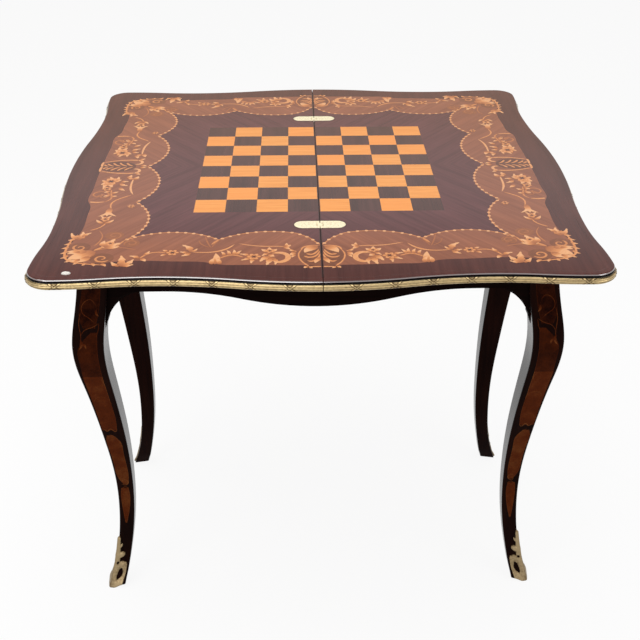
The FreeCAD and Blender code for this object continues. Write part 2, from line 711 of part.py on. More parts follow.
def loft_body(name, heights, throws, widths):
    """Lofted body through upright square sections whose centres run on the leg's diagonal."""
    body = new_body(f"{name}_body")
    sections = []
    for index, (height, throw, width) in enumerate(zip(heights, throws, widths)):
        sketch = sketch_in(body, f"{name}_section_{index}", "XY_Plane", height)
        low = [f"{centre} + {throw} - {width} / 2" for centre in LEG_CENTRES.values()]
        rectangle(sketch, low, (width, width))
        sections.append(sketch)
    loft = body.newObject("PartDesign::AdditiveLoft", f"{name}_loft")
    loft.Profile = sections[0]
    loft.Sections = sections[1:]
    body.Tip = loft
    return body, loft


def leg_blank():
    """Cabriole leg: square sections that swell at the knee, draw in to the ankle and kick out at the toe."""
    heights = [f"{FRAME_TOP} - {share} * {LEG_LENGTH}" for share in LEG_DEPTH_SHARES]
    throws = [f"{share} * Sizes.ankle_throw" for share in LEG_THROW_SHARES]
    widths = [f"({share} * Sizes.knee_width)" for share in LEG_WIDTH_SHARES]
    body, loft = loft_body("leg", heights, throws, widths)
    doc.recompute()
    tall = value(LEG_LENGTH) / 2
    numbered = enumerate(loft.Shape.Edges, start=1)
    arrises = [f"Edge{index}" for index, edge in numbered if edge.BoundBox.ZLength > tall]
    softened = body.newObject("PartDesign::Fillet", "leg_arrises")
    softened.Base = (loft, arrises)
    softened.setExpression("Radius", "Sizes.leg_arris_round")
    body.Tip = softened
    return body


def loft_value(shares, heights, share):
    """Share at a height, straight between the sections on either side."""
    for index in range(len(heights) - 1):
        if share <= heights[index + 1]:
            break
    low, high = heights[index], heights[index + 1]
    blend = (share - low) / (high - low)
    return shares[index] + blend * (shares[index + 1] - shares[index])


def sabot_point(axis, inward, up):
    """Point on one face of the shoe: inwards from its outer arris at that height, and up."""
    throw = loft_value(SABOT_THROW_SHARES, SABOT_HEIGHT_SHARES, up) * size("ankle_throw")
    width = loft_value(SABOT_WIDTH_SHARES, SABOT_HEIGHT_SHARES, up) * size("knee_width")
    arris = value(LEG_CENTRES[axis]) + throw + width / 2 + size("sabot_wall")
    place = arris - inward * size("knee_width")
    height = up * value(SABOT_HEIGHT)
    return vector(place, 0, height) if axis == "across" else vector(0, place, height)


def sabot_plan(axis):
    """Outline of the shoe on one face: a scrolled inner edge from heel to tip, with a pierced eye."""
    scroll = [sabot_point(axis, *shares) for shares in SABOT_EDGE_SHARES]
    outside = -SABOT_EDGE_SHARES[0][0]
    upper, lower = (sabot_point(axis, outside, share) for share in (SABOT_EDGE_SHARES[-1][1], 0))
    corners = [scroll[-1], upper, lower, scroll[0]]
    curve = Part.BSplineCurve()
    curve.interpolate(scroll)
    edges = [curve.toShape()]
    edges += [Part.LineSegment(start, end).toShape() for start, end in zip(corners, corners[1:])]
    eye = Part.BSplineCurve()
    eye.interpolate([sabot_point(axis, *shares) for shares in SABOT_EYE_SHARES], True)
    return closed_face(edges).cut(Part.Face(Part.Wire([eye.toShape()])))


def sabot_blank(leg):
    """Cast shoe: a shell on the two outer faces of the foot, closed below by a sole."""
    heights = [f"{share} * {SABOT_HEIGHT}" for share in SABOT_HEIGHT_SHARES]
    throws = [f"{share} * Sizes.ankle_throw" for share in SABOT_THROW_SHARES]
    widths = [f"({share} * Sizes.knee_width + 2 * Sizes.sabot_wall)" for share in SABOT_WIDTH_SHARES]
    solid, _ = loft_body("sabot", heights, throws, widths)
    shoe = cut("sabot_shell", solid, leg)
    for axis, other, direction in (("across", "along", ALONG), ("along", "across", ACROSS)):
        profile = doc.addObject("Part::Feature", f"sabot_{axis}_outline")
        profile.Shape = sabot_plan(axis)
        links = {"Base": profile, "DirMode": "Custom", "Dir": direction, "Solid": True}
        reach = {"LengthFwd": f"{LEG_CENTRES[other]} + Sizes.knee_width"}
        prism = feature("Part::Extrusion", f"sabot_{axis}_prism", links, reach)
        shoe = feature("Part::Common", f"sabot_{axis}_trimmed", {"Base": shoe, "Tool": prism})
    return shoe


def four_quarters(source, label):
    """The piece in the back right quarter and its mirror images, one node each."""
    part(source, f"back_right_{label}")
    front = part(mirrored(f"front_right_{label}", source, ALONG), f"front_right_{label}")
    part(mirrored(f"back_left_{label}", source, ACROSS), f"back_left_{label}")
    part(mirrored(f"front_left_{label}", front, ACROSS), f"front_left_{label}")


# Frame: four aprons tenoned into the legs

def profile_lines(sign, places):
    """Straight edges through (x, z) places of an apron's front view, mirrored by the sign."""
    points = [vector(sign * x, 0, z) for x, z in places]
    return [Part.LineSegment(first, last).toShape() for first, last in zip(points, points[1:])]


def profile_arc(sign, centre, radius, start, end):
    """Arc of an apron's front view, mirrored by the sign."""
    points = []
    for angle in (start, (start + end) / 2, end):
        x = centre[0] + radius * math.cos(angle)
        z = centre[1] + radius * math.sin(angle)
        points.append(vector(sign * x, 0, z))
    return Part.Arc(*points).toShape()


def apron_face(half_length, drop, run):
    """Front view of an apron: level edges, a cyma drop at the middle and an ear at each leg."""
    top, flat = value(FRAME_TOP), value(f"{FRAME_TOP} - Sizes.apron_depth")
    radius = size("ear_radius")
    wave = wave_radius(run, drop)
    turn = math.asin(run / 2 / wave)
    inner = half_length + size("ear_reach")
    far = half_length + size("tenon_length")
    tip = flat - radius
    up, down = math.pi / 2, 3 * math.pi / 2
    edges = []
    for sign in (1, -1):
        edges += profile_lines(sign, ((0, top), (far, top), (far, tip), (inner, tip)))
        edges.append(profile_arc(sign, (inner - radius, tip), radius, 0, up))
        edges += profile_lines(sign, ((inner - radius, flat), (run, flat)))
        edges.append(profile_arc(sign, (run, flat - wave), wave, up, up + turn))
        edges.append(profile_arc(sign, (0, flat - drop + wave), wave, down + turn, down))
    return closed_face(edges)


def apron(name, axis, half_length, drop, run, outer, legs, tenons):
    """Apron between two legs: a shaped board trimmed to the legs, with a tenon at each end."""
    profile = doc.addObject("Part::Feature", f"{name}_outline")
    face = apron_face(value(half_length), size(drop), value(run))
    direction = ALONG
    if axis == "y":
        direction = ACROSS
        face.rotate(vector(0, 0), vector(0, 0, 1), 90)
    profile.Shape = face
    place = ".Placement.Base.x" if axis == "y" else ".Placement.Base.y"
    profile.setExpression(place, f"{outer} - Sizes.apron_thickness")
    links = {"Base": profile, "DirMode": "Custom", "Dir": direction, "Solid": True}
    board = feature("Part::Extrusion", f"{name}_board", links, {"LengthFwd": "Sizes.apron_thickness"})
    trimmed = cut(f"{name}_trimmed", board, legs)
    return fuse(f"{name}_tenoned", [trimmed, *tenons])


def frame():
    """Legs, shoes and aprons, mortised and tenoned together."""
    leg = leg_blank()
    far_leg = mirrored("leg_across", leg, ACROSS)
    near_leg = mirrored("leg_along", leg, ALONG)
    middle = "Sizes.apron_thickness / 2 + Sizes.tenon_thickness / 2"
    low = f"{FRAME_TOP} - Sizes.tenon_drop - Sizes.tenon_height"
    span = ("2 * Sizes.tenon_length", "Sizes.tenon_thickness", "Sizes.tenon_height")
    back_low = (f"{LEG_INNER_ACROSS} - Sizes.tenon_length", f"{FRAME_HALF_DEPTH} - ({middle})", low)
    back_tenon = box("back_tenon", back_low, span)
    side_low = (f"{FRAME_HALF_WIDTH} - ({middle})", f"{LEG_INNER_ALONG} - Sizes.tenon_length", low)
    side_tenon = box("side_tenon", side_low, (span[1], span[0], span[2]))
    back_tenons = [back_tenon, mirrored("back_tenon_across", back_tenon, ACROSS)]
    side_tenons = [side_tenon, mirrored("side_tenon_along", side_tenon, ALONG)]
    four_quarters(cut("leg_mortised", leg, fuse("leg_mortises", [back_tenon, side_tenon])), "leg")
    four_quarters(sabot_blank(leg), "sabot")
    back = apron("back", "x", LEG_INNER_ACROSS, "front_apron_drop", FRONT_RUN, FRAME_HALF_DEPTH,
                 fuse("back_legs", [leg, far_leg]), back_tenons)
    side = apron("side", "y", LEG_INNER_ALONG, "side_apron_drop", SIDE_RUN, FRAME_HALF_WIDTH,
                 fuse("right_legs", [leg, near_leg]), side_tenons)
    part(back, "back_apron")
    part(mirrored("front", back, ALONG), "front_apron")
    part(side, "right_apron")
    part(mirrored("left", side, ACROSS), "left_apron")


def centred_box(name, half_width, half_depth, low, height):
    """Box centred on the table's axis."""
    return box(name, (f"-({half_width})", f"-({half_depth})", low),
               (f"2 * ({half_width})", f"2 * ({half_depth})", height))


def games_well():
    """Floor of the well, notched round the legs, on two ledgers, and the baize on the frame's top edges."""
    floor_low = f"{FRAME_TOP} - Sizes.well_depth - Sizes.well_floor_thickness"
    gap = "Sizes.well_floor_clearance"
    long_board = centred_box("well_floor_long", f"{LEG_INNER_ACROSS} - {gap}", f"{INNER_HALF_DEPTH} - {gap}",
                             floor_low, "Sizes.well_floor_thickness")
    wide_board = centred_box("well_floor_wide", f"{INNER_HALF_WIDTH} - {gap}", f"{LEG_INNER_ALONG} - {gap}",
                             floor_low, "Sizes.well_floor_thickness")
    part(fuse("well_floor_board", [long_board, wide_board]), "well_floor")
    ledge = box("back_ledger",
                (f"{gap} - {LEG_INNER_ACROSS}", f"{INNER_HALF_DEPTH} - Sizes.ledger_width",
                 f"{floor_low} - Sizes.ledger_height"),
                (f"2 * ({LEG_INNER_ACROSS} - {gap})", "Sizes.ledger_width", "Sizes.ledger_height"))
    part(group("ledgers", [ledge, mirrored("front_ledger", ledge, ALONG)]), "well_ledgers")
    edge = "(Sizes.apron_thickness - Sizes.baize_width) / 2"
    back = box("back_baize",
               (f"{gap} - {LEG_INNER_ACROSS}", f"{INNER_HALF_DEPTH} + {edge}", FRAME_TOP),
               (f"2 * ({LEG_INNER_ACROSS} - {gap})", "Sizes.baize_width", "Sizes.baize_thickness"))
    right = box("right_baize",
                (f"{INNER_HALF_WIDTH} + {edge}", f"{gap} - {LEG_INNER_ALONG}", FRAME_TOP),
                ("Sizes.baize_width", f"2 * ({LEG_INNER_ALONG} - {gap})", "Sizes.baize_thickness"))
    strips = [back, mirrored("front_baize", back, ALONG), right, mirrored("left_baize", right, ACROSS)]
    part(group("strips", strips), "baize_strips")


# Swivel: a stud under the right leaf turns in a bushed rail, between two stops

RAIL_LOW = f"({FRAME_TOP} - Sizes.rail_thickness)"
WASHER_LOW = f"({RAIL_LOW} - Sizes.leaf_clearance - Sizes.washer_thickness)"
NUT_LOW = f"({WASHER_LOW} - Sizes.nut_height)"
DOWEL_ACROSS = f"({PIVOT} + {DOWEL_REACH_SHARE} * {PIVOT})"
DOWEL_ALONG = f"({PIVOT} + {RAIL_WIDTH} / 2 + Sizes.dowel_radius + Sizes.leaf_clearance)"


def swivel():
    """Rail, bush, stud plate, washer, nut and stops; returns what the right leaf is cut to receive."""
    plank = box("rail_plank", (f"{PIVOT} - {RAIL_WIDTH} / 2", f"-{INNER_HALF_DEPTH}", RAIL_LOW),
                (RAIL_WIDTH, f"2 * {INNER_HALF_DEPTH}", "Sizes.rail_thickness"))
    hole = cylinder("rail_hole", (PIVOT, PIVOT, f"{RAIL_LOW} - Sizes.cut_overrun"), "Sizes.bush_radius",
                    "Sizes.rail_thickness + 2 * Sizes.cut_overrun")
    part(cut("rail", plank, hole), "pivot_rail")
    flange_top = f"{FRAME_TOP} + Sizes.bush_flange_thickness"
    bore = "Sizes.stud_radius + Sizes.stud_clearance"
    bush_profile = (
        (bore, RAIL_LOW),
        ("Sizes.bush_radius", RAIL_LOW),
        ("Sizes.bush_radius", FRAME_TOP),
        ("Sizes.bush_flange_radius", FRAME_TOP),
        ("Sizes.bush_flange_radius", flange_top),
        (bore, flange_top),
    )
    part(revolved("bush", bush_profile, PIVOT, PIVOT), "pivot_bush")
    plate_top = f"{LEAF_LOW} + Sizes.pivot_plate_thickness"
    stud_low = f"{NUT_LOW} - Sizes.cut_overrun"
    stud_profile = (
        (AXIS, stud_low),
        ("Sizes.stud_radius", stud_low),
        ("Sizes.stud_radius", LEAF_LOW),
        ("Sizes.pivot_plate_radius", LEAF_LOW),
        ("Sizes.pivot_plate_radius", plate_top),
        (AXIS, plate_top),
    )
    stud = revolved("stud", stud_profile, PIVOT, PIVOT)
    screws = []
    for index, (out, along) in enumerate(((1, 0), (0, 1), (-1, 0), (0, -1))):
        centre = [f"{PIVOT} + {share} * Sizes.pivot_screw_circle" for share in (out, along)]
        screws.append(screw(f"pivot_screw_{index}", centre, LEAF_LOW, False))
    screw_set = part(group("pivot_screw_set", screws), "pivot_screws")
    part(cut("stud_plate", stud, screw_set), "pivot_plate")
    ring = cylinder("washer_disc", (PIVOT, PIVOT, WASHER_LOW),
                    "Sizes.washer_radius", "Sizes.washer_thickness")
    ring_hole = cylinder("washer_hole", (PIVOT, PIVOT, NUT_LOW), bore, f"{LEAF_LOW} - {NUT_LOW}")
    part(cut("washer", ring, ring_hole), "pivot_washer")
    hexagon = feature("Part::Prism", "nut_blank", {"Polygon": 6}, {
        "Circumradius": "Sizes.nut_across_flats / sqrt(3)",
        "Height": "Sizes.nut_height",
        ".Placement.Base.x": PIVOT,
        ".Placement.Base.y": PIVOT,
        ".Placement.Base.z": NUT_LOW,
    })
    thread = cylinder("nut_hole", (PIVOT, PIVOT, NUT_LOW), "Sizes.stud_radius", "Sizes.nut_height")
    part(cut("nut", hexagon, thread), "pivot_nut")
    dowel = part(cylinder("dowel", (DOWEL_ACROSS, DOWEL_ALONG, f"{LEAF_LOW} - Sizes.dowel_length"),
                          "Sizes.dowel_radius", "Sizes.dowel_length + Sizes.dowel_socket"), "stop_dowel")
    face = f"({DOWEL_ALONG} + Sizes.dowel_radius + Sizes.leaf_clearance)"
    block_left = f"{DOWEL_ACROSS} - Sizes.stop_block_length / 2"
    block_low = (block_left, face, f"{FRAME_TOP} - Sizes.stop_block_height")
    block_span = ("Sizes.stop_block_length", f"{INNER_HALF_DEPTH} - {face}", "Sizes.stop_block_height")
    part(box("block", block_low, block_span), "stop_block")
    recess = cylinder("plate_recess", (PIVOT, PIVOT, LEAF_LOW), "Sizes.pivot_plate_radius",
                      "Sizes.pivot_plate_thickness")
    return [recess, screw_set, dowel]


# Build, check and write

frame()
games_well()
leaf_fittings = swivel()
for leaf_side, leaf_name in SIDES:
    leaf(leaf_side, leaf_name, leaf_fittings if leaf_side == RIGHT else [])
for hinge_end, hinge_end_name in ENDS:
    hinge_link(hinge_end, hinge_end_name)
bumper()
doc.recompute()

for item in doc.Objects:
    if "Invalid" in item.State or "Error" in item.State:
        raise RuntimeError(f"{item.Label} failed: {item.State}")
for item in parts:
    if item.Shape.isNull() or not item.Shape.isValid() or not item.Shape.Solids:
        raise RuntimeError(f"{item.Label} has no valid solid")

os.makedirs("parts", exist_ok=True)
for item in parts:
    item.Shape.exportStep(f"parts/{item.Label}.step")
    print(f"{item.Label}: {len(item.Shape.Solids)} solids, {item.Shape.Volume:.0f} mm3")
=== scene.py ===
"""Looks of a fold-over game table: inlaid serpentine top, cabriole legs and cast brass mounts."""

import json
import logging
import math
from dataclasses import dataclass
from enum import Enum
from typing import Callable, Sequence

import bpy
import numpy as np
from mathutils import Matrix, Vector


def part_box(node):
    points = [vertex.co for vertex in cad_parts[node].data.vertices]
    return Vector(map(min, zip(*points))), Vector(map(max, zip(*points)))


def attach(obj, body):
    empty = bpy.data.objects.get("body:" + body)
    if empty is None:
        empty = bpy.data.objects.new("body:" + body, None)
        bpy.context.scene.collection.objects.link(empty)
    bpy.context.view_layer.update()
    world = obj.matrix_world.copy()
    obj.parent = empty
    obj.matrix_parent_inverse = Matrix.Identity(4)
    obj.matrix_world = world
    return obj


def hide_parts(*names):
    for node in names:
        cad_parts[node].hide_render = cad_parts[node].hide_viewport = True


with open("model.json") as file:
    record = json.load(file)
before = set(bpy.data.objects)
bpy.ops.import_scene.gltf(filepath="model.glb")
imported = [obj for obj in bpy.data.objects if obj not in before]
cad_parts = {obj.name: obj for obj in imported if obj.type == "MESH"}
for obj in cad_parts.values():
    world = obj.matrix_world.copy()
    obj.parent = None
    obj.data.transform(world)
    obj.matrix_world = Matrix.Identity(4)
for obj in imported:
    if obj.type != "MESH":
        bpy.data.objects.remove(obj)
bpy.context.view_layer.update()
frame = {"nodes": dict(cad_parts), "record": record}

LOG = logging.getLogger("game_table")
MM = 0.001
TINY = 1e-12
# Height of the playing surface, and how far each marquetry shape lies above the last, in metres.
TABLE_TOP = 0.760
LAYER = 0.0000012
# Mean of a noise texture, and the roughness of its finer octaves.
NOISE_MIDDLE = 0.5
NOISE_ROUGHNESS = 0.55
Array = np.ndarray
Colour = tuple[float, float, float]
Place = Callable[[Array, float], Array]
Table = tuple[tuple[float, ...], tuple[float, ...]]
Oval = tuple[tuple[float, float], tuple[float, float], float]
WHITE: Colour = (1.0, 1.0, 1.0)


class Half(Enum):
    """One of the two halves of the table, whose value is the sign of its places."""

    @property
    def word(self) -> str:
        """Name used in the node names."""
        return self.name.lower()


class Side(Half):
    """Leaf or leg on the left or on the right of the seam."""

    LEFT = -1
    RIGHT = 1


class End(Half):
    """Front or back of the table."""

    FRONT = -1
    BACK = 1


class Grain(Enum):
    """Direction in which the grain of a wood runs, as turns about X, Y and Z in degrees."""

    ACROSS = (0.0, 0.0, 0.0)
    ALONG = (0.0, 0.0, 90.0)
    DIAGONAL = (0.0, 0.0, 52.0)
    UPRIGHT = (0.0, 90.0, 0.0)


# Curves and surfaces


def smooth(low: float, high: float, value: Array) -> Array:
    """Smooth step, 3 t^2 - 2 t^3 with t running from 0 at low to 1 at high.

    Args:
        low: Value at which the step starts.
        high: Value at which the step ends.
        value: Where the step is wanted.

    Returns:
        The step, between 0 and 1.
    """
    t = np.clip((value - low) / (high - low), 0.0, 1.0)
    return t * t * (3.0 - 2.0 * t)


def spline(knots: Array, values: Array, where: Array) -> Array:
    """Natural cubic spline: the bends at the knots solve the tridiagonal equations of equal slopes.

    Args:
        knots: Rising parameter of each given value.
        values: Given values, one row for each knot.
        where: Parameters at which the spline is wanted.

    Returns:
        One row for each wanted parameter.
    """
    gaps = np.diff(knots)
    count = len(knots)
    system = np.eye(count)
    inner = np.arange(1, count - 1)
    system[inner, inner - 1] = gaps[:-1]
    system[inner, inner] = 2.0 * (gaps[:-1] + gaps[1:])
    system[inner, inner + 1] = gaps[1:]
    right = np.zeros_like(values)
    right[1:-1] = 6.0 * np.diff(np.diff(values, axis=0) / gaps[:, None], axis=0)
    bends = np.linalg.solve(system, right)
    left = np.clip(np.searchsorted(knots, where) - 1, 0, count - 2)
    gap = gaps[left][:, None]
    a = (knots[left + 1] - where)[:, None] / gap
    b = 1.0 - a
    curve = ((a**3 - a) * bends[left] + (b**3 - b) * bends[left + 1]) * gap**2 / 6.0
    return a * values[left] + b * values[left + 1] + curve


def length_along(path: Array) -> Array:
    """Length of the chords from the start of a path to each of its points."""
    return np.concatenate([[0.0], np.cumsum(np.linalg.norm(np.diff(path, axis=0), axis=1))])


def path_through(points: Sequence[Sequence[float]], count: int) -> Array:
    """Smooth path through points, a spline over the length of the chords between them.

    Args:
        points: Points in order.
        count: Number of points wanted.

    Returns:
        The path, one point in each row.
    """
    given = np.asarray(points, float)
    knots = length_along(given)
    return spline(knots, given, np.linspace(0.0, knots[-1], count))


def rays(angle: Array) -> Array:
    """Unit vectors at angles in radians, in the plane."""
    return np.stack([np.cos(angle), np.sin(angle)], -1)


def right_of(path: Array) -> Array:
    """Unit vectors to the right of a flat path's heading, which is its central difference.

    Args:
        path: Points in order.

    Returns:
        One vector for each point.
    """
    heading = np.gradient(path, axis=0)
    heading /= np.maximum(np.linalg.norm(heading, axis=1, keepdims=True), TINY)
    return np.stack([heading[:, 1], -heading[:, 0]], -1)


class Surface:
    """Grids of points gathered into one mesh, with a tone at every point."""

    def __init__(self) -> None:
        """Start with no grid."""
        self.points: list[Array] = []
        self.quads: list[Array] = []
        self.tones: list[Array] = []
        self.count = 0

    def add(self, grid: Array, tone: Array | float = 0.0, ring: bool = False, flip: bool = False,
            pole: bool = False) -> None:
        """Add a grid whose faces point along the columns' direction crossed with the rows'.

        Args:
            grid: Points, rows by columns by three.
            tone: Tone of the points, one number or one for each.
            ring: True where the last column joins the first.
            flip: True turns the faces round.
            pole: True where the last row is one point, which the faces before it share.
        """
        rows, columns = grid.shape[:2]
        count = (rows - 1) * columns + 1 if pole else rows * columns
        index = np.minimum(np.arange(rows * columns), count - 1).reshape(rows, columns) + self.count
        if ring:
            index = np.hstack([index, index[:, :1]])
        corners = (index[:-1, :-1], index[:-1, 1:], index[1:, 1:], index[1:, :-1])
        quads = np.stack(corners, -1).reshape(-1, 4)
        self.quads.append(quads[:, ::-1] if flip else quads)
        self.points.append(grid.reshape(-1, 3)[:count])
        self.tones.append(np.broadcast_to(np.asarray(tone, float), (rows, columns)).ravel()[:count])
        self.count += count

    def cap(self, rim: Array, tone: float = 0.0, flip: bool = False) -> None:
        """Close a rim with two rings of faces to its middle: middle + share * (rim - middle).

        Args:
            rim: Points of the rim in order.
            tone: Tone of the points.
            flip: True turns the faces round.
        """
        middle = rim.mean(axis=0)
        shares = np.array([1.0, 0.5, 0.0])[:, None, None]
        self.add(middle + shares * (rim - middle), tone, ring=True, flip=flip, pole=True)

    def bar(self, grid: Array, tone: Array | float = 0.0, end_tone: float = 0.0, flip: bool = False) -> None:
        """Add a closed section carried along the rows of a grid, with both of its ends capped.

        Args:
            grid: Points, sections by points of a section by three.
            tone: Tone of the points, one number or one for each.
            end_tone: Tone of the ends.
            flip: True turns the faces round.
        """
        self.add(grid, tone, ring=True, flip=flip)
        self.cap(grid[0], end_tone, flip=not flip)
        self.cap(grid[-1], end_tone, flip=flip)

    def build(self, name: str, body: str, slot: str, material: bpy.types.Material,
              stands_for: Sequence[str] = ()) -> None:
        """Make the mesh and its object at the origin, and fix it to a body.

        Args:
            name: Name of the piece.
            body: Body that carries it.
            slot: Material slot of the record; not used.
            material: Finish of the piece.
            stands_for: Nodes that the piece is shown in place of.
        """
        points = np.concatenate(self.points).astype(np.float32)
        quads = np.concatenate(self.quads).astype(np.int32)
        mesh = bpy.data.meshes.new(name)
        mesh.vertices.add(len(points))
        mesh.vertices.foreach_set("co", points.ravel())
        corners = quads != np.roll(quads, 1, axis=1)
        ends = np.cumsum(corners.sum(axis=1))
        mesh.loops.add(int(ends[-1]))
        mesh.loops.foreach_set("vertex_index", quads[corners])
        mesh.polygons.add(len(quads))
        mesh.polygons.foreach_set("loop_start", (ends - corners.sum(axis=1)).astype(np.int32))
        mesh.polygons.foreach_set("use_smooth", np.ones(len(quads), bool))
        tones = mesh.attributes.new("tone", "FLOAT", "POINT")
        tones.data.foreach_set("value", np.concatenate(self.tones).astype(np.float32))
        mesh.update(calc_edges=True)
        mesh.materials.append(material)
        piece = bpy.data.objects.new(name, mesh)
        bpy.context.scene.collection.objects.link(piece)
        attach(piece, body)
        if stands_for:
            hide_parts(*stands_for)
        LOG.info("%s: %d faces on %s", name, len(quads), body)


# Shader maths


class Shade:
    """Output of a shader node; sums and products of values add their own nodes."""

    def __init__(self, graph: "Graph", socket: bpy.types.NodeSocket) -> None:
        """Keep the socket and the graph that it belongs to."""
        self.graph = graph
        self.socket = socket

    def math(self, operation: str, first: "Shade | float", second: "Shade | float") -> "Shade":
        """Math node of the given operation on two values."""
        return self.graph.node("ShaderNodeMath", {"operation": operation}, {0: first, 1: second})

    def __add__(self, other: "Shade | float") -> "Shade":
        """Sum of two values."""
        return self.math("ADD", self, other)

    def __radd__(self, other: float) -> "Shade":
        """Sum with a number on the left."""
        return self.math("ADD", other, self)

    def __sub__(self, other: "Shade | float") -> "Shade":
        """Difference of two values."""
        return self.math("SUBTRACT", self, other)

    def __rsub__(self, other: float) -> "Shade":
        """Difference with a number on the left."""
        return self.math("SUBTRACT", other, self)

    def __mul__(self, other: "Shade | float") -> "Shade":
        """Product of two values."""
        return self.math("MULTIPLY", self, other)

    def __rmul__(self, other: float) -> "Shade":
        """Product with a number on the left."""
        return self.math("MULTIPLY", other, self)


class Graph:
    """Node tree of one material or of a world."""

    def __init__(self, name: str, tree: bpy.types.NodeTree | None = None) -> None:
        """Make a material with its surface shader, or take over the tree of a world.

        Args:
            name: Name of the material.
            tree: Tree of a world, where there is no material.
        """
        self.tree = tree
        if tree is None:
            self.material = bpy.data.materials.new(name)
            self.material.use_nodes = True
            self.tree = self.material.node_tree
            self.shader = self.tree.nodes["Principled BSDF"]

    def node(self, kind: str, settings: dict, inputs: dict, output: int | str = 0) -> Shade:
        """Add any node.

        Args:
            kind: Type name of the node.
            settings: Its own settings, and stops for a colour ramp.
            inputs: Values or links of its sockets, by name or number.
            output: Output that is wanted.

        Returns:
            The wanted output.
        """
        made = self.tree.nodes.new(kind)
        for key, value in settings.items():
            if key == "stops":
                self.set_stops(made.color_ramp, value)
            else:
                setattr(made, key, value)
        for key, value in inputs.items():
            self.feed(made.inputs[key], value)
        return Shade(self, made.outputs[output])

    @staticmethod
    def set_stops(ramp: bpy.types.ColorRamp, stops: Sequence[tuple[float, Colour]]) -> None:
        """Give a colour ramp its stops.

        Args:
            ramp: Ramp of a node.
            stops: Position and colour of each stop.
        """
        while len(ramp.elements) < len(stops):
            ramp.elements.new(1.0)
        for element, (position, colour) in zip(ramp.elements, stops):
            element.position = position
            element.color = (*colour, 1.0)

    def feed(self, socket: bpy.types.NodeSocket, value: "Shade | float | Sequence[float]") -> None:
        """Link a socket to an output, or give it a value.

        Args:
            socket: Socket of a node.
            value: Output, number, vector or colour; a colour without alpha is made opaque.
        """
        if isinstance(value, Shade):
            self.tree.links.new(value.socket, socket)
        elif isinstance(value, (int, float)):
            socket.default_value = value
        else:
            wanted = tuple(value)
            socket.default_value = wanted if len(wanted) == len(socket.default_value) else (*wanted, 1.0)

    def surface(self, **inputs: "Shade | float | Sequence[float]") -> bpy.types.Material:
        """Feed the surface shader.

        Args:
            inputs: Values by socket name, where an underscore stands for a space.

        Returns:
            The finished material.
        """
        for key, value in inputs.items():
            self.feed(self.shader.inputs[key.replace("_", " ")], value)
        return self.material

    def ramp(self, value: Shade, stops: Sequence[tuple[float, Colour]]) -> Shade:
        """Colours along a value."""
        return self.node("ShaderNodeValToRGB", {"stops": stops}, {"Fac": value})

    def mix(self, share: Shade, first: "Shade | Colour", second: "Shade | Colour") -> Shade:
        """Colour between two, the second one where the share is 1."""
        return self.node("ShaderNodeMix", {"data_type": "RGBA"}, {"Factor": share, 6: first, 7: second}, 2)

    def change(self, value: Shade, ends: tuple[float, float], results: tuple[float, float],
               kind: str = "SMOOTHSTEP") -> Shade:
        """Value that runs from the first result to the last while another passes between two ends.

        Args:
            value: Value that passes.
            ends: Where the change starts and ends.
            results: Results before and after the change.
            kind: Interpolation of the node.

        Returns:
            The changed value.
        """
        sockets = {"Value": value, "From Min": ends[0], "From Max": ends[1],
                   "To Min": results[0], "To Max": results[1]}
        return self.node("ShaderNodeMapRange", {"interpolation_type": kind}, sockets)

    def noise(self, vector: Shade, detail: float, scale: float = 1.0) -> Shade:
        """Smooth noise between 0 and 1."""
        sockets = {"Vector": vector, "Scale": scale, "Detail": detail, "Roughness": NOISE_ROUGHNESS}
        return self.node("ShaderNodeTexNoise", {}, sockets)

    def place(self, mirrored: bool = False) -> Shade:
        """Place on the piece.

        Args:
            mirrored: True folds the plan about the table's two centre lines.

        Returns:
            Object coordinates.
        """
        spot = self.node("ShaderNodeTexCoord", {}, {}, "Object")
        if mirrored:
            spot = self.node("ShaderNodeVectorMath", {"operation": "ABSOLUTE"}, {0: spot})
        return spot

    def stretched(self, spot: Shade, grain: Grain, length: float, width: float) -> Shade:
        """Place turned to the grain and measured in grain lengths and widths.

        Args:
            spot: Place on the piece.
            grain: Direction of the grain.
            length: Length of a streak in metres.
            width: Width of a streak in metres.

        Returns:
            Place in streaks.
        """
        turn = tuple(math.radians(angle) for angle in grain.value)
        sockets = {"Vector": spot, "Rotation": turn, "Scale": (length, width, width)}
        return self.node("ShaderNodeMapping", {"vector_type": "TEXTURE"}, sockets)

    def background_rays(self) -> Shade:
        """1 for a ray of the camera, a reflection or a transmission, 0 for the light itself.

        Returns:
            The larger of the three ray flags.
        """
        camera, gloss, through = (self.node("ShaderNodeLightPath", {}, {}, f"Is {kind} Ray")
                                  for kind in ("Camera", "Glossy", "Transmission"))
        return camera.math("MAXIMUM", camera.math("MAXIMUM", camera, gloss), through)

    def edge_on(self, most: float, ends: tuple[float, float] = (0.58, 0.82)) -> Shade | float:
        """Weight of a polish that shows where a face is seen nearly edge on.

        Args:
            most: Weight where the face is seen edge on.
            ends: Facing at which the weight starts and is full.

        Returns:
            The weight, 0 where there is no such polish.
        """
        if not most:
            return 0.0
        facing = self.node("ShaderNodeLayerWeight", {}, {"Blend": 0.5}, "Facing")
        return self.change(facing, ends, (0.0, most))

    def tone(self) -> Shade:
        """Tone kept at the points of the piece."""
        return self.node("ShaderNodeAttribute", {"attribute_name": "tone"}, {}, "Fac")

    def bump(self, height: Shade, strength: float, distance: float) -> Shade:
        """Normal of a slightly uneven surface."""
        sockets = {"Height": height, "Strength": strength, "Distance": distance}
        return self.node("ShaderNodeBump", {}, sockets, "Normal")


# Finishes


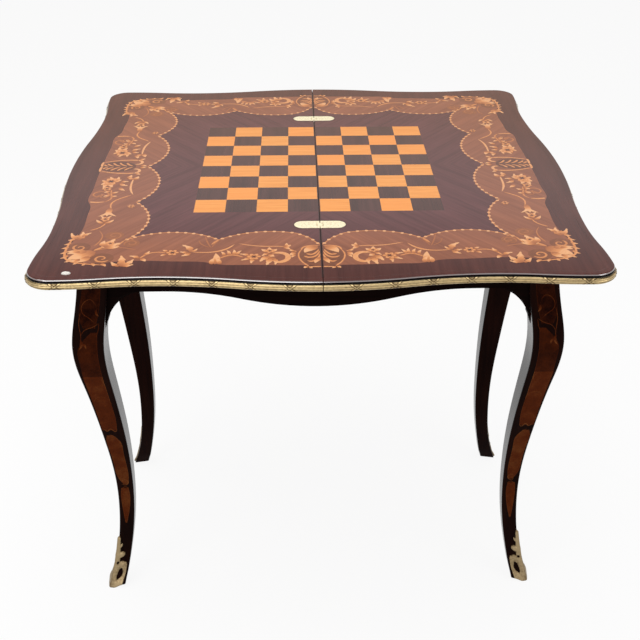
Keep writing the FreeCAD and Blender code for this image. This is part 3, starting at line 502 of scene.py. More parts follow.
@dataclass(frozen=True)
class PolishedWood:
    """Polished wood with a streaky grain, darker pores and a broad figure; lengths in metres."""

    name: str
    dark: Colour
    light: Colour
    grain: Grain
    mirrored: bool = False
    streak_length: float = 0.16
    streak_width: float = 0.006
    figure_widths: float = 6.0
    pore_length: float = 0.02
    pore_width: float = 0.0007
    shares: tuple[float, float, float] = (0.55, 0.45, 0.25)
    span: tuple[float, float] = (0.34, 0.66)
    roughness: float = 0.13
    specular: float = 0.22
    sheen: float = 0.0
    glint: float = 0.0
    # Near-black colour where the tone is negative: painted shade in the lipping's groove and in the seam.
    groove: Colour = (0.0012, 0.0008, 0.0007)
    sheen_index: float = 1.7
    glint_index: float = 3.0
    polish_roughness: float = 0.16
    pore_bump: tuple[float, float] = (0.06, 0.0004)

    def material(self) -> bpy.types.Material:
        """Grain as noise drawn out along the grain, with a polish on the facets or where a face is seen edge on,
        and painted shade where the tone is negative.

        Returns:
            The material.
        """
        graph = Graph(self.name)
        spot = graph.place(self.mirrored)
        length, width = self.streak_length, self.streak_width
        streak = graph.noise(graph.stretched(spot, self.grain, length, width), detail=5.0)
        figure = graph.noise(graph.stretched(spot, self.grain, length, width * self.figure_widths), detail=2.0)
        pore = graph.noise(graph.stretched(spot, self.grain, self.pore_length, self.pore_width), detail=2.0)
        fine, broad, pitted = self.shares
        value = streak * fine + figure * broad + (pore - NOISE_MIDDLE) * pitted
        colour = graph.ramp(value, tuple(zip(self.span, (self.dark, self.light))))
        if self.glint:
            # Negative tone mixes in the groove colour: painted shade.
            colour = graph.mix(graph.tone() * -1.0, colour, self.groove)
            polish = graph.tone() * self.glint
        else:
            polish = (1.0 - graph.tone()) * graph.edge_on(self.sheen)
        return graph.surface(
            Base_Color=colour,
            Roughness=self.roughness,
            Specular_IOR_Level=self.specular,
            Coat_Weight=polish,
            Coat_IOR=self.glint_index if self.glint else self.sheen_index,
            Coat_Roughness=self.polish_roughness,
            Normal=graph.bump(pore, *self.pore_bump),
        )


@dataclass(frozen=True)
class BoardSquares:
    """Squares cut from different leaves of veneer, so that their tone changes from square to square."""

    name: str
    square: float
    dark: Colour
    light: Colour
    warm: Colour
    spread: float
    streak_length: float = 0.06
    streak_width: float = 0.0022
    span: tuple[float, float] = (0.3, 0.7)
    roughness: float = 0.13
    specular: float = 0.22

    def material(self) -> bpy.types.Material:
        """Grain across the board, tinted by a random number for each square.

        Returns:
            The material.
        """
        graph = Graph(self.name)
        spot = graph.place()
        cell = graph.node("ShaderNodeVectorMath", {"operation": "SCALE"}, {0: spot, "Scale": 1.0 / self.square})
        cell = graph.node("ShaderNodeVectorMath", {"operation": "FLOOR"}, {0: cell})
        chance = graph.node("ShaderNodeTexWhiteNoise", {"noise_dimensions": "2D"}, {"Vector": cell})
        drawn = graph.stretched(spot, Grain.ACROSS, self.streak_length, self.streak_width)
        colour = graph.ramp(graph.noise(drawn, detail=4.0), tuple(zip(self.span, (self.dark, self.light))))
        tint = graph.mix(chance * self.spread, colour, self.warm)
        return graph.surface(Base_Color=tint, Roughness=self.roughness, Specular_IOR_Level=self.specular)


@dataclass(frozen=True)
class TonedInlay:
    """Small pieces of veneer shaded in hot sand: the tone of a point runs from scorched to pale."""

    name: str
    scorched: Colour
    middle: Colour
    bright: Colour
    pale: Colour
    specular: float = 0.22
    mottle: float = 0.0
    mottle_scale: float = 55.0
    grain_share: float = 0.3
    streak_length: float = 0.02
    streak_width: float = 0.0015
    stops: tuple[float, float, float, float] = (0.0, 0.45, 0.82, 1.0)
    roughness: float = 0.13

    def material(self) -> bpy.types.Material:
        """Colour along the tone of the points, with a little grain and a broad mottle.

        Returns:
            The material.
        """
        graph = Graph(self.name)
        drawn = graph.stretched(graph.place(), Grain.DIAGONAL, self.streak_length, self.streak_width)
        value = graph.tone() + (graph.noise(drawn, detail=3.0) - NOISE_MIDDLE) * self.grain_share
        if self.mottle:
            broad = graph.noise(graph.place(), 3.0, self.mottle_scale)
            value = value + (broad - NOISE_MIDDLE) * self.mottle
        colours = (self.scorched, self.middle, self.bright, self.pale)
        colour = graph.ramp(value, tuple(zip(self.stops, colours)))
        return graph.surface(Base_Color=colour, Roughness=self.roughness, Specular_IOR_Level=self.specular)


@dataclass(frozen=True)
class Brass:
    """Brass with brown patina where the tone of the points is high; on the band the tone also carries painted shade
    and shadow.
    """

    name: str
    bright: Colour
    brown: Colour
    roughness: float
    metallic: float = 1.0
    engraved: float = 0.0
    mottle: float = 0.5
    span: tuple[float, float] = (0.15, 0.9)
    wear_scale: float = 260.0
    wear_roughness: float = 0.25
    wear_bump: tuple[float, float] = (0.12, 0.0006)
    cell_scale: float = 190.0
    cell_line: tuple[float, float] = (0.02, 0.10)

    def material(self) -> bpy.types.Material:
        """Bright metal mixed towards brown by the tone, a fine noise and engraved lines between rounded cells.

        Returns:
            The material.
        """
        graph = Graph(self.name)
        wear = graph.noise(graph.place(), 4.0, self.wear_scale)
        value = graph.tone() + (wear - NOISE_MIDDLE) * self.mottle
        if self.engraved:
            cells = graph.node("ShaderNodeTexVoronoi", {"feature": "DISTANCE_TO_EDGE"},
                               {"Vector": graph.place(True), "Scale": self.cell_scale})
            value = value + graph.change(cells, self.cell_line, (self.engraved, 0.0), "LINEAR")
        return graph.surface(
            Base_Color=graph.ramp(value, tuple(zip(self.span, (self.bright, self.brown)))),
            Metallic=self.metallic,
            Roughness=wear * self.wear_roughness + self.roughness,
            Normal=graph.bump(wear, *self.wear_bump),
        )


@dataclass(frozen=True)
class Plain:
    """One colour with a fine mottle, for the pieces that hide inside the frame."""

    name: str
    colour: Colour
    roughness: float
    metallic: float = 0.0
    dullness: float = 0.8
    span: tuple[float, float] = (0.3, 0.7)
    mottle_scale: float = 400.0

    def material(self) -> bpy.types.Material:
        """Even colour, slightly mottled.

        Returns:
            The material.
        """
        graph = Graph(self.name)
        mottle = graph.noise(graph.place(), 3.0, self.mottle_scale)
        dull = tuple(self.dullness * share for share in self.colour)
        colour = graph.ramp(mottle, tuple(zip(self.span, (dull, self.colour))))
        return graph.surface(Base_Color=colour, Roughness=self.roughness, Metallic=self.metallic)


# Top


@dataclass(frozen=True)
class TopOutline:
    """Serpentine outline of the open top at the nose of its lipping, in metres."""

    half_width: float = 0.4105
    side_waist_depth: float = 0.0145
    side_waist: float = 0.255
    side_corner: float = 0.0065
    half_depth: float = 0.422
    front_waist_depth: float = 0.020
    front_waist: float = 0.235
    front_corner: float = 0.012
    corner_radius: float = 0.034
    seam: float = 0.0012
    step: float = 0.0013
    least_steps: int = 4

    def quarter(self) -> tuple[Array, Array]:
        """Tangent arcs from the back of the seam to the middle of the right side.

        An S-curve that is level at both ends is two arcs of radius (run^2 + rise^2) / (4 rise).

        Returns:
            Points and outward normals.
        """
        waist_width = self.half_width - self.side_waist_depth
        waist_depth = self.half_depth - self.front_waist_depth
        corner_width, corner_depth = self.half_width - self.side_corner, self.half_depth - self.front_corner
        corner_x, corner_y = corner_width - self.corner_radius, corner_depth - self.corner_radius
        runs = np.array([self.front_waist, corner_x - self.front_waist,
                         corner_y - self.side_waist, self.side_waist])
        rises = np.array([self.front_waist_depth, corner_depth - waist_depth,
                          corner_width - waist_width, self.side_waist_depth])
        back, back_corner, side_corner, flank = radii = (runs**2 + rises**2) / (4.0 * rises)
        turns = np.arcsin(runs / 2.0 / radii)
        up, down, inward = math.pi / 2, 3 * math.pi / 2, math.pi
        start = math.asin(self.seam / 2 / back)
        arcs = (
            ((0.0, self.half_depth - back), back, up - start, up - turns[0], 1),
            ((self.front_waist, waist_depth + back), back, down - turns[0], down, -1),
            ((self.front_waist, waist_depth + back_corner), back_corner, down, down + turns[1], -1),
            ((corner_x, corner_depth - back_corner), back_corner, up + turns[1], up, 1),
            ((corner_x, corner_y), self.corner_radius, up, 0.0, 1),
            ((corner_width - side_corner, corner_y), side_corner, 0.0, -turns[2], 1),
            ((waist_width + side_corner, self.side_waist), side_corner, inward - turns[2], inward, -1),
            ((waist_width + flank, self.side_waist), flank, inward, inward + turns[3], -1),
            ((self.half_width - flank, 0.0), flank, turns[3], 0.0, 1),
        )
        points, normals = [], []
        for centre, radius, first, last, sign in arcs:
            count = max(self.least_steps, math.ceil(radius * abs(last - first) / self.step))
            angle = np.linspace(first, last, count, endpoint=False)
            points.append(np.array(centre) + radius * rays(angle))
            normals.append(sign * rays(angle))
        return np.concatenate(points), np.concatenate(normals)

    def leaf(self, side: Side) -> tuple[Array, Array, Array]:
        """Edge of one leaf from seam to seam, anticlockwise.

        Args:
            side: Leaf that is wanted.

        Returns:
            Points, outward normals, and the distance along the edge from the nearer end of the seam.
        """
        points, normals = self.quarter()
        front = np.array([1.0, -1.0])
        middle = np.array([[self.half_width, 0.0]])
        edge = np.concatenate([points * front, middle, points[::-1]])
        out = np.concatenate([normals * front, np.array([[1.0, 0.0]]), normals[::-1]])
        if side is Side.LEFT:
            mirror = np.array([-1.0, 1.0])
            edge, out = (edge * mirror)[::-1], (out * mirror)[::-1]
        run = length_along(edge)
        return edge, out, np.minimum(run, run[-1] - run)


@dataclass
class EdgeMoulding:
    """Wooden lipping of a leaf, the brass band below it and the strip in the seam; lengths in metres."""

    outline: TopOutline
    lipping_width: float = 0.010
    lipping_low: float = 0.7538
    lipping_ledge: float = 0.7557
    softening: float = 0.0002
    nose_radius: float = 0.0016
    nose_steps: int = 9
    nose_bright_steps: int = 3
    facet_drop: float = 0.0013
    facet_turn: float = 74.0
    facet_shares: tuple[float, ...] = (0.12, 0.5, 0.88, 1.0)
    groove_depth: float = 0.0030
    seam_end: float = 0.4105
    seam_clear: float = 0.004
    seam_edges: tuple[float, float] = (-0.0012, 0.0003)
    seam_levels: tuple[float, float] = (0.7562, 0.7592)
    seam_steps: int = 24
    band_low: float = 0.745
    band_high: float = 0.7543
    band_proud: float = 0.0033
    band_sunk: float = 0.0004
    band_steps: int = 31
    reeds: float = 3.0
    reed_depth: float = 0.00045
    reed_end: float = 0.9
    tie_first: float = 0.044
    tie_pitch: float = 0.053
    tie_reach: float = 0.0070
    tie_width: float = 0.0030
    tie_rise: float = 0.0006
    tie_heart: float = 0.004
    ribbon_edge: tuple[float, float] = (0.42, 0.55)
    shadow_edge: tuple[float, float] = (0.38, 0.55)
    shadow_fade: tuple[float, float] = (0.6, 1.2)
    band_tone: float = 0.10
    reed_tone: float = 0.45
    foot_tone: float = 0.28
    shadow_tone: float = 0.9
    heart_tone: float = 0.25
    end_tone: float = 0.4

    @staticmethod
    def carried(edge: Array, out: Array, offset: Array, height: Array) -> Array:
        """Profile carried along the edge: point + normal * offset, at the profile's height.

        Args:
            edge: Points of the edge in plan.
            out: Outward normals of the edge.
            offset: Offsets of the profile, for all of the edge or for each of its points.
            height: Heights of the profile.

        Returns:
            Points, along the edge by round the profile by three.
        """
        plan = edge[:, None, :] + out[:, None, :] * offset[..., None]
        level = np.broadcast_to(height, plan.shape[:2])
        return np.concatenate([plan, level[..., None]], -1)

    def lipping(self, side: Side, material: bpy.types.Material) -> None:
        """Lipping with a small round nose, a steep facet that catches the light, and a groove above the band
        painted near-black as shade.

        Args:
            side: Leaf that carries it.
            material: Finish of the lipping.
        """
        edge, out, _ = self.outline.leaf(side)
        turn = np.linspace(0.0, math.radians(self.facet_turn), self.nose_steps)
        nose = self.nose_radius * np.stack([np.sin(turn), np.cos(turn) - 1.0], -1)
        drop = self.facet_drop * np.array(self.facet_shares)
        facet = nose[-1] + np.stack([drop / math.tan(turn[-1]), -drop], -1)
        lip = np.concatenate([nose, facet])
        lip = lip - np.array([lip[-1, 0], -TABLE_TOP])
        low, ledge, soft = self.lipping_low, self.lipping_ledge, self.softening
        wide, deep = self.lipping_width, self.groove_depth
        flat = np.array([[-wide, TABLE_TOP], [soft - wide, TABLE_TOP], [lip[0, 0] - soft, TABLE_TOP]])
        groove = lip[-1] - np.array([[soft, soft], [deep - soft, 2 * soft], [deep, 3 * soft]])
        foot = np.array([[-deep, ledge + soft], [soft - deep, ledge], [0.0, ledge], [2 * soft, ledge - soft],
                         [2 * soft, low + soft], [soft, low], [-soft, low], [-soft, ledge - 2 * soft],
                         [soft - wide, ledge - 2 * soft], [-wide, ledge - soft]])
        profile = np.concatenate([flat, lip, groove, foot])
        tone = np.zeros(len(profile))
        lip_end = len(flat) + len(lip)
        tone[len(flat) + len(nose) - self.nose_bright_steps:lip_end] = 1.0
        # Tone -1 paints the groove and the foot below it near-black: painted shade.
        tone[lip_end:-2] = -1.0
        grid = self.carried(edge, out, profile[None, :, 0], profile[:, 1])
        surface = Surface()
        surface.bar(grid, tone)
        surface.build(f"{side.word}_lipping", f"{side.word}_leaf", "lipping_wood", material,
                      (f"{side.word}_leaf_lipping",))

    def seam_strip(self, material: bpy.types.Material) -> None:
        """Near-black strip in the seam, on the left leaf, clear of the hinges, painted shade for the gap between
        the leaves: a rectangle carried along the seam.

        Args:
            material: Finish of the lipping.
        """
        low, high = (np.asarray(corner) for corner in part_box("back_right_hinge_plate"))
        near, far = low[1] - self.seam_clear, high[1] + self.seam_clear
        across = np.array(self.seam_edges)[[0, 0, 1, 1]]
        level = np.array(self.seam_levels)[[0, 1, 1, 0]]
        surface = Surface()
        for start, stop in ((-self.seam_end, -far), (-near, near), (far, self.seam_end)):
            along = np.linspace(start, stop, self.seam_steps)[:, None]
            surface.bar(np.stack(np.broadcast_arrays(across, along, level), -1), -1.0, -1.0)
        surface.build("left_seam_strip", "left_leaf", "lipping_wood", material)

    def band(self, side: Side, material: bpy.types.Material) -> None:
        """Half-round band with three reeds, tied at even distances by crossed ribbons.

        The section is a flattened half circle with a cosine ripple; a ribbon is where the distance along
        the edge, less or plus a share of the height, is within half a ribbon's width of the tie.

        Args:
            side: Leaf that carries it.
            material: Finish of the band.
        """
        edge, out, run = self.outline.leaf(side)
        share = np.linspace(1.0, -1.0, self.band_steps)
        middle, half = (self.band_high + self.band_low) / 2, (self.band_high - self.band_low) / 2
        section = self.band_proud * (1.0 - np.abs(share) ** 3.0) ** 0.5
        hollow = 0.5 - np.cos(share * self.reeds * math.pi) * 0.5
        section = section - self.reed_depth * hollow * (np.abs(share) < self.reed_end)
        signed = (run - self.tie_first + self.tie_pitch / 2) % self.tie_pitch - self.tie_pitch / 2
        lean = self.tie_reach * share[None, :]
        near = np.minimum(np.abs(signed[:, None] - lean), np.abs(signed[:, None] + lean)) / self.tie_width
        ribbon = 1.0 - smooth(*self.ribbon_edge, near)
        shadow = smooth(*self.shadow_edge, near) * (1.0 - smooth(*self.shadow_fade, near))
        offset = section[None, :] + self.tie_rise * ribbon * (1.0 - np.abs(share[None, :]) ** 6)
        # Tone: darker in the reed hollows, painted shade on the lower half, and a painted shadow beside each
        # ribbon.
        tone = self.band_tone + self.reed_tone * hollow[None, :] * (1.0 - ribbon)
        tone = tone + self.foot_tone * smooth(0.0, self.reed_end, -share)[None, :] + self.shadow_tone * shadow
        tone = np.clip(tone + self.heart_tone * (np.abs(signed[:, None]) < self.tie_heart), 0.0, 1.0)
        front = self.carried(edge, out, offset, middle + half * share)
        sunk = np.full((1, 1), -self.band_sunk)
        high = self.carried(edge, out, sunk, np.array([self.band_high]))
        back = self.carried(edge, out, sunk, np.array([self.band_low]))
        surface = Surface()
        surface.bar(np.concatenate([high, front, back], 1), np.pad(tone, ((0, 0), (1, 1)), "edge"), self.end_tone)
        surface.build(f"{side.word}_band", f"{side.word}_leaf", "band_brass", material,
                      (f"{side.word}_leaf_band",))


@dataclass
class Cutter:
    """Cuts flat marquetry shapes as small grids and lays them on a surface, each a hair above the last.

    The map takes plan points and a lift to places, flip turns the faces, and lift is that of the next shape.
    """

    surface: Surface
    place: Place
    flip: bool
    lift: float
    stem_steps: int = 12
    stem_taper: tuple[float, float] = (8.0, 0.15)
    leaf_steps: int = 12
    leaf_columns: int = 5
    leaf_powers: tuple[float, float] = (0.7, 0.8)
    leaf_shaded: float = 0.7
    lobe_steps: int = 6
    lobe_depth: float = 0.45
    lobe_start: float = 0.35
    petal_steps: int = 8
    petal_depth: float = 0.45
    flower_shares: tuple[float, ...] = (1.0, 0.75, 0.42, 0.30, 0.0)
    flower_tones: tuple[float, ...] = (0.75, 0.9, 0.5, 0.08, 0.0)
    oval_steps: int = 33
    oval_shares: tuple[float, ...] = (1.0, 0.5, 0.0)
    volute_steps: tuple[int, int] = (36, 8)
    volute_shrink: float = 0.8
    volute_thin: float = 0.5
    volute_taper: tuple[float, float] = (10.0, 0.2)
    bead_steps: int = 9
    least_beads: int = 3

    def lay(self, plan: Array, tone: Array | float, pole: bool = False) -> None:
        """Lay one grid of plan points on top of the shapes before it."""
        self.surface.add(self.place(plan, self.lift), tone, flip=self.flip, pole=pole)
        self.lift += LAYER

    def strip(self, path: Array, width: Array | float, tone: Array | float, columns: int = 3) -> None:
        """Strip along a path: path + right * width * share, share from -1/2 to 1/2.

        Args:
            path: Points in order.
            width: Width, one number or one for each point.
            tone: Tone, one number or one for each point.
            columns: Number of points across the strip.
        """
        share = np.linspace(-0.5, 0.5, columns)
        wide = np.broadcast_to(np.asarray(width, float), len(path))
        offset = right_of(path)[:, None, :] * (wide[:, None] * share)[..., None]
        shade = np.broadcast_to(np.asarray(tone, float).reshape(-1, 1), (len(path), columns))
        self.lay(path[:, None, :] + offset, shade)

    def stem(self, points: Sequence[Sequence[float]], widths: Sequence[float], tone: float) -> None:
        """Stem through points, its width running evenly over the given widths and drawn out at the ends.

        Args:
            points: Points in order.
            widths: Widths at even distances.
            tone: Tone of the stem.
        """
        path = path_through(points, self.stem_steps * len(points))
        t = np.linspace(0.0, 1.0, len(path))
        width = np.interp(t, np.linspace(0.0, 1.0, len(widths)), widths)
        slope, least = self.stem_taper
        self.strip(path, width * np.minimum(1.0, slope * np.minimum(t, 1.0 - t) + least), tone)

    def leaf(self, base: Sequence[float], tip: Sequence[float], width: float, bend: float, lobes: int,
             tones: tuple[float, float] = (0.42, 0.98)) -> None:
        """Leaf with a bowed middle rib: width sin(pi t^0.7)^0.8 times a saw of lobes, scorched at its base.

        Args:
            base: Foot of the leaf.
            tip: Point of the leaf.
            width: Full width of the leaf.
            bend: Bow of the rib as a share of its length.
            lobes: Number of lobes, 0 for a plain edge.
            tones: Tones at the base and at the tip.
        """
        start, end = np.asarray(base, float), np.asarray(tip, float)
        t = np.linspace(0.0, 1.0, self.leaf_steps + self.lobe_steps * lobes)
        reach = end - start
        side = np.array([reach[1], -reach[0]])
        path = start + t[:, None] * reach + (bend * np.sin(math.pi * t))[:, None] * side
        saw = 1.0 - self.lobe_depth * np.mod(t * lobes + self.lobe_start, 1.0) if lobes else np.ones_like(t)
        body = width * np.sin(math.pi * t ** self.leaf_powers[0]) ** self.leaf_powers[1] * saw
        tone = tones[0] + (tones[1] - tones[0]) * smooth(0.0, self.leaf_shaded, t)
        self.strip(path, body, tone, self.leaf_columns)

    def rosette(self, centre: Sequence[float], radius: float, petals: int) -> None:
        """Flower: radius (0.55 + 0.45 |cos(petals a / 2)|) at angle a, dark at the heart.

        Args:
            centre: Middle of the flower.
            radius: Radius at the tips of the petals.
            petals: Number of petals.
        """
        angle = np.linspace(0.0, 2 * math.pi, self.petal_steps * petals + 1)
        wave = np.abs(np.cos(petals * angle / 2))
        rim = radius * (1.0 - self.petal_depth + self.petal_depth * wave)
        share = np.array(self.flower_shares)[:, None, None]
        plan = np.asarray(centre, float) + share * (rim[:, None] * rays(angle))[None]
        self.lay(plan, np.array(self.flower_tones)[:, None], pole=True)

    def oval(self, centre: Sequence[float], radii: Sequence[float], arc: tuple[float, float], tone: float) -> None:
        """Sector of an oval: centre + share * (a cos, b sin).

        Args:
            centre: Centre of the oval.
            radii: Half of its width and of its height.
            arc: Angles in degrees between which the sector lies.
            tone: Tone of the sector.
        """
        rim = np.asarray(radii, float) * rays(np.radians(np.linspace(*arc, self.oval_steps)))
        share = np.array(self.oval_shares)[:, None, None]
        self.lay(np.asarray(centre, float) + share * rim[None], tone, pole=True)

    def volute(self, centre: Sequence[float], radius: float, turns: float, start: float, width: float,
               tone: float) -> None:
        """Spiral whose radius shrinks evenly to a fifth.

        Args:
            centre: Eye of the spiral.
            radius: Radius at its start.
            turns: Number of turns, negative to wind clockwise.
            start: Angle of its start in degrees.
            width: Width of the strip at its start.
            tone: Tone of the strip.
        """
        t = np.linspace(0.0, 1.0, int(self.volute_steps[0] * abs(turns)) + self.volute_steps[1])
        reach = radius * (1.0 - self.volute_shrink * t)
        angle = math.radians(start) + 2 * math.pi * turns * t
        path = np.asarray(centre, float) + reach[:, None] * rays(angle)
        taper = np.minimum(1.0, self.volute_taper[0] * t + self.volute_taper[1])
        self.strip(path, width * (1.0 - self.volute_thin * t) * taper, tone)

    def beads(self, path: Array, spacing: float, radius: float, tone: float) -> None:
        """Row of small eight-sided beads along a path at even distances, all at one height.

        Args:
            path: Points in order.
            spacing: Distance between the beads.
            radius: Radius of a bead.
            tone: Tone of the beads.
        """
        run = length_along(path)
        count = max(self.least_beads, round(run[-1] / spacing))
        stops = np.linspace(0.0, run[-1], count + 1)[:-1] + spacing / 2
        places = np.stack([np.interp(stops, run, path[:, axis]) for axis in (0, 1)], -1)
        rim = radius * rays(np.linspace(0.0, 2 * math.pi, self.bead_steps))
        level = self.lift
        for spot in places:
            self.lift = level
            self.lay(spot + np.array([1.0, 0.0])[:, None, None] * rim[None], tone, pole=True)


# Marquetry of a quarter of the top, in millimetres from the centre: outwards to the side, then to the end.
# Dark grounds behind the shells and in the eyes of the scrolls: place, radii, angles, tone.
GROUNDS = (
    ((0, 345), (31, 33), (-90, 90), 0.17), ((334, 0), (30, 24), (0, 180), 0.09),
    ((344, 312), (16, 16), (0, 360), 0.2), ((307, 347), (17, 16), (0, 360), 0.2),
    ((300, 272), (14, 13), (0, 360), 0.3), ((272, 299), (12, 12), (0, 360), 0.3),
)
# Ribs of the shells, from the shell's axis to its rim.
SHELL_RIBS = (
    ((3.6, 324), (8.2, 334.5), (14.7, 340.3), (21.5, 337.5)),
    ((2.6, 329), (5.7, 340), (12.2, 348), (18.7, 349), (25, 345)),
    ((2.2, 338), (4.1, 348), (9, 358), (14.7, 362), (20.5, 359.5)), ((309, 2.5), (316, 8), (321, 17)),
    ((319, 2.5), (327, 8), (333, 18)), ((330, 2.5), (338, 8), (344, 17)), ((341, 2.5), (348, 7), (353, 14)),
    ((350, 2.5), (355, 5), (358, 10)),
)
# Stems: points, widths, tone.
STEMS = (
    (((118, 303), (108, 307), (98, 310), (80, 313), (60, 313.5), (50, 315)), (1.6, 2.4, 2), 0.85),
    (((47, 320), (41, 327), (35, 331)), (2.2, 2.2), 0.8),
    (((70, 336), (60, 334), (51, 338), (47, 349), (52, 360), (62, 363), (68, 357)), (4, 7, 8, 7, 4), 0.88),
    (((143, 350), (134, 343), (126, 340), (118, 342), (110, 347)), (2.6, 3.4, 2.4), 0.75),
    (((124, 306), (130, 315), (138, 323), (150, 329), (166, 331), (184, 329)), (2, 3.8, 2.4, 2), 0.85),
    (((219, 331), (228, 329), (240, 331), (248, 338), (254, 348)), (2, 2.4, 2.8), 0.8),
    (((28, 324), (31.8, 335), (32.2, 347), (29.3, 358.6), (23.6, 369.8), (17.5, 378)),
     (1.8, 2.2, 2.4, 2.6), 0.8), (((19, 378), (10, 378.6), (0.6, 378.6)), (2.6, 2.6), 0.85),
    (((2.4, 313), (9, 311.5), (16.3, 312.2), (23, 315), (27, 319.5), (28.5, 327)), (1.6, 2.6, 3, 2.2), 0.82),
    (((338, 254), (331, 249), (324, 241), (319, 226)), (2.4, 2.4, 2), 0.8),
    (((319, 176), (322, 156), (315, 140), (305, 130), (296, 122)), (2, 2.8, 2.6, 2), 0.8),
    (((293, 121), (299, 102), (301.5, 76), (301, 55)), (1.6, 3.6, 3.4, 2), 0.92),
    (((357, 148), (346, 150), (333, 148)), (4.6, 4, 2), 0.85),
    (((333, 148), (326, 138), (327, 122), (330, 100)), (2.2, 3, 2), 0.7),
    (((361, 22), (362, 10), (361, 0)), (3.4, 4, 3.8), 0.88),
    (((360, 20), (346, 25), (328, 29.5), (312, 30), (301, 29)), (2.4, 3, 3.6, 4.4), 0.85),
    (((303, 30), (296, 22), (299, 12), (307, 11)), (4.6, 5, 3), 0.92),
    (((354, 268), (359, 286), (361.5, 309), (361, 332), (356, 348), (346, 357), (330, 362.5), (312, 366),
     (297, 368)), (2.4, 3.6, 2.4), 0.8), (((147.7, 290), (152, 297), (157, 306)), (3, 4, 1.6), 0.7),
    (((284, 290), (288, 300), (292, 310)), (2.4, 2.8, 2), 0.75),
    (((157, 316), (163, 298), (168, 277)), (1.2, 2.4, 1), 0.42),
    (((156, 316), (152, 303), (145, 290)), (1.2, 2.2, 1), 0.4),
    (((159, 315), (172, 303), (176, 290)), (1.2, 2.2, 1), 0.4),
    (((290, 298), (300, 303), (312, 312), (322, 322)), (2, 4, 5), 0.75),
    (((284, 290), (276, 283), (270, 287)), (1.6, 2.4, 1.2), 0.7),
    (((322, 322), (300, 314), (280, 314), (262, 321)), (2.2, 2.2, 1.6, 1), 0.55),
    (((324, 308), (318, 290), (318, 270), (325, 255)), (2.2, 2.2, 1.6, 1), 0.55),
)
# Volutes: place, radius, turns, start in degrees, width, tone.
VOLUTES = (
    ((343, 312), 10.5, 1.15, 300, 3.6, 0.7), ((307, 347), 11.5, -1.15, 150, 3.8, 0.74),
    ((300, 272), 12, 1.2, 60, 2.4, 0.46), ((272, 299), 10.5, -1.2, 30, 2.4, 0.46),
    ((311, 308), 5, 0.95, 90, 2.8, 0.95), ((346, 120), 16.5, 1.3, 120, 3.4, 0.55),
    ((340, 128), 9, -1.2, 20, 2.6, 0.48),
)
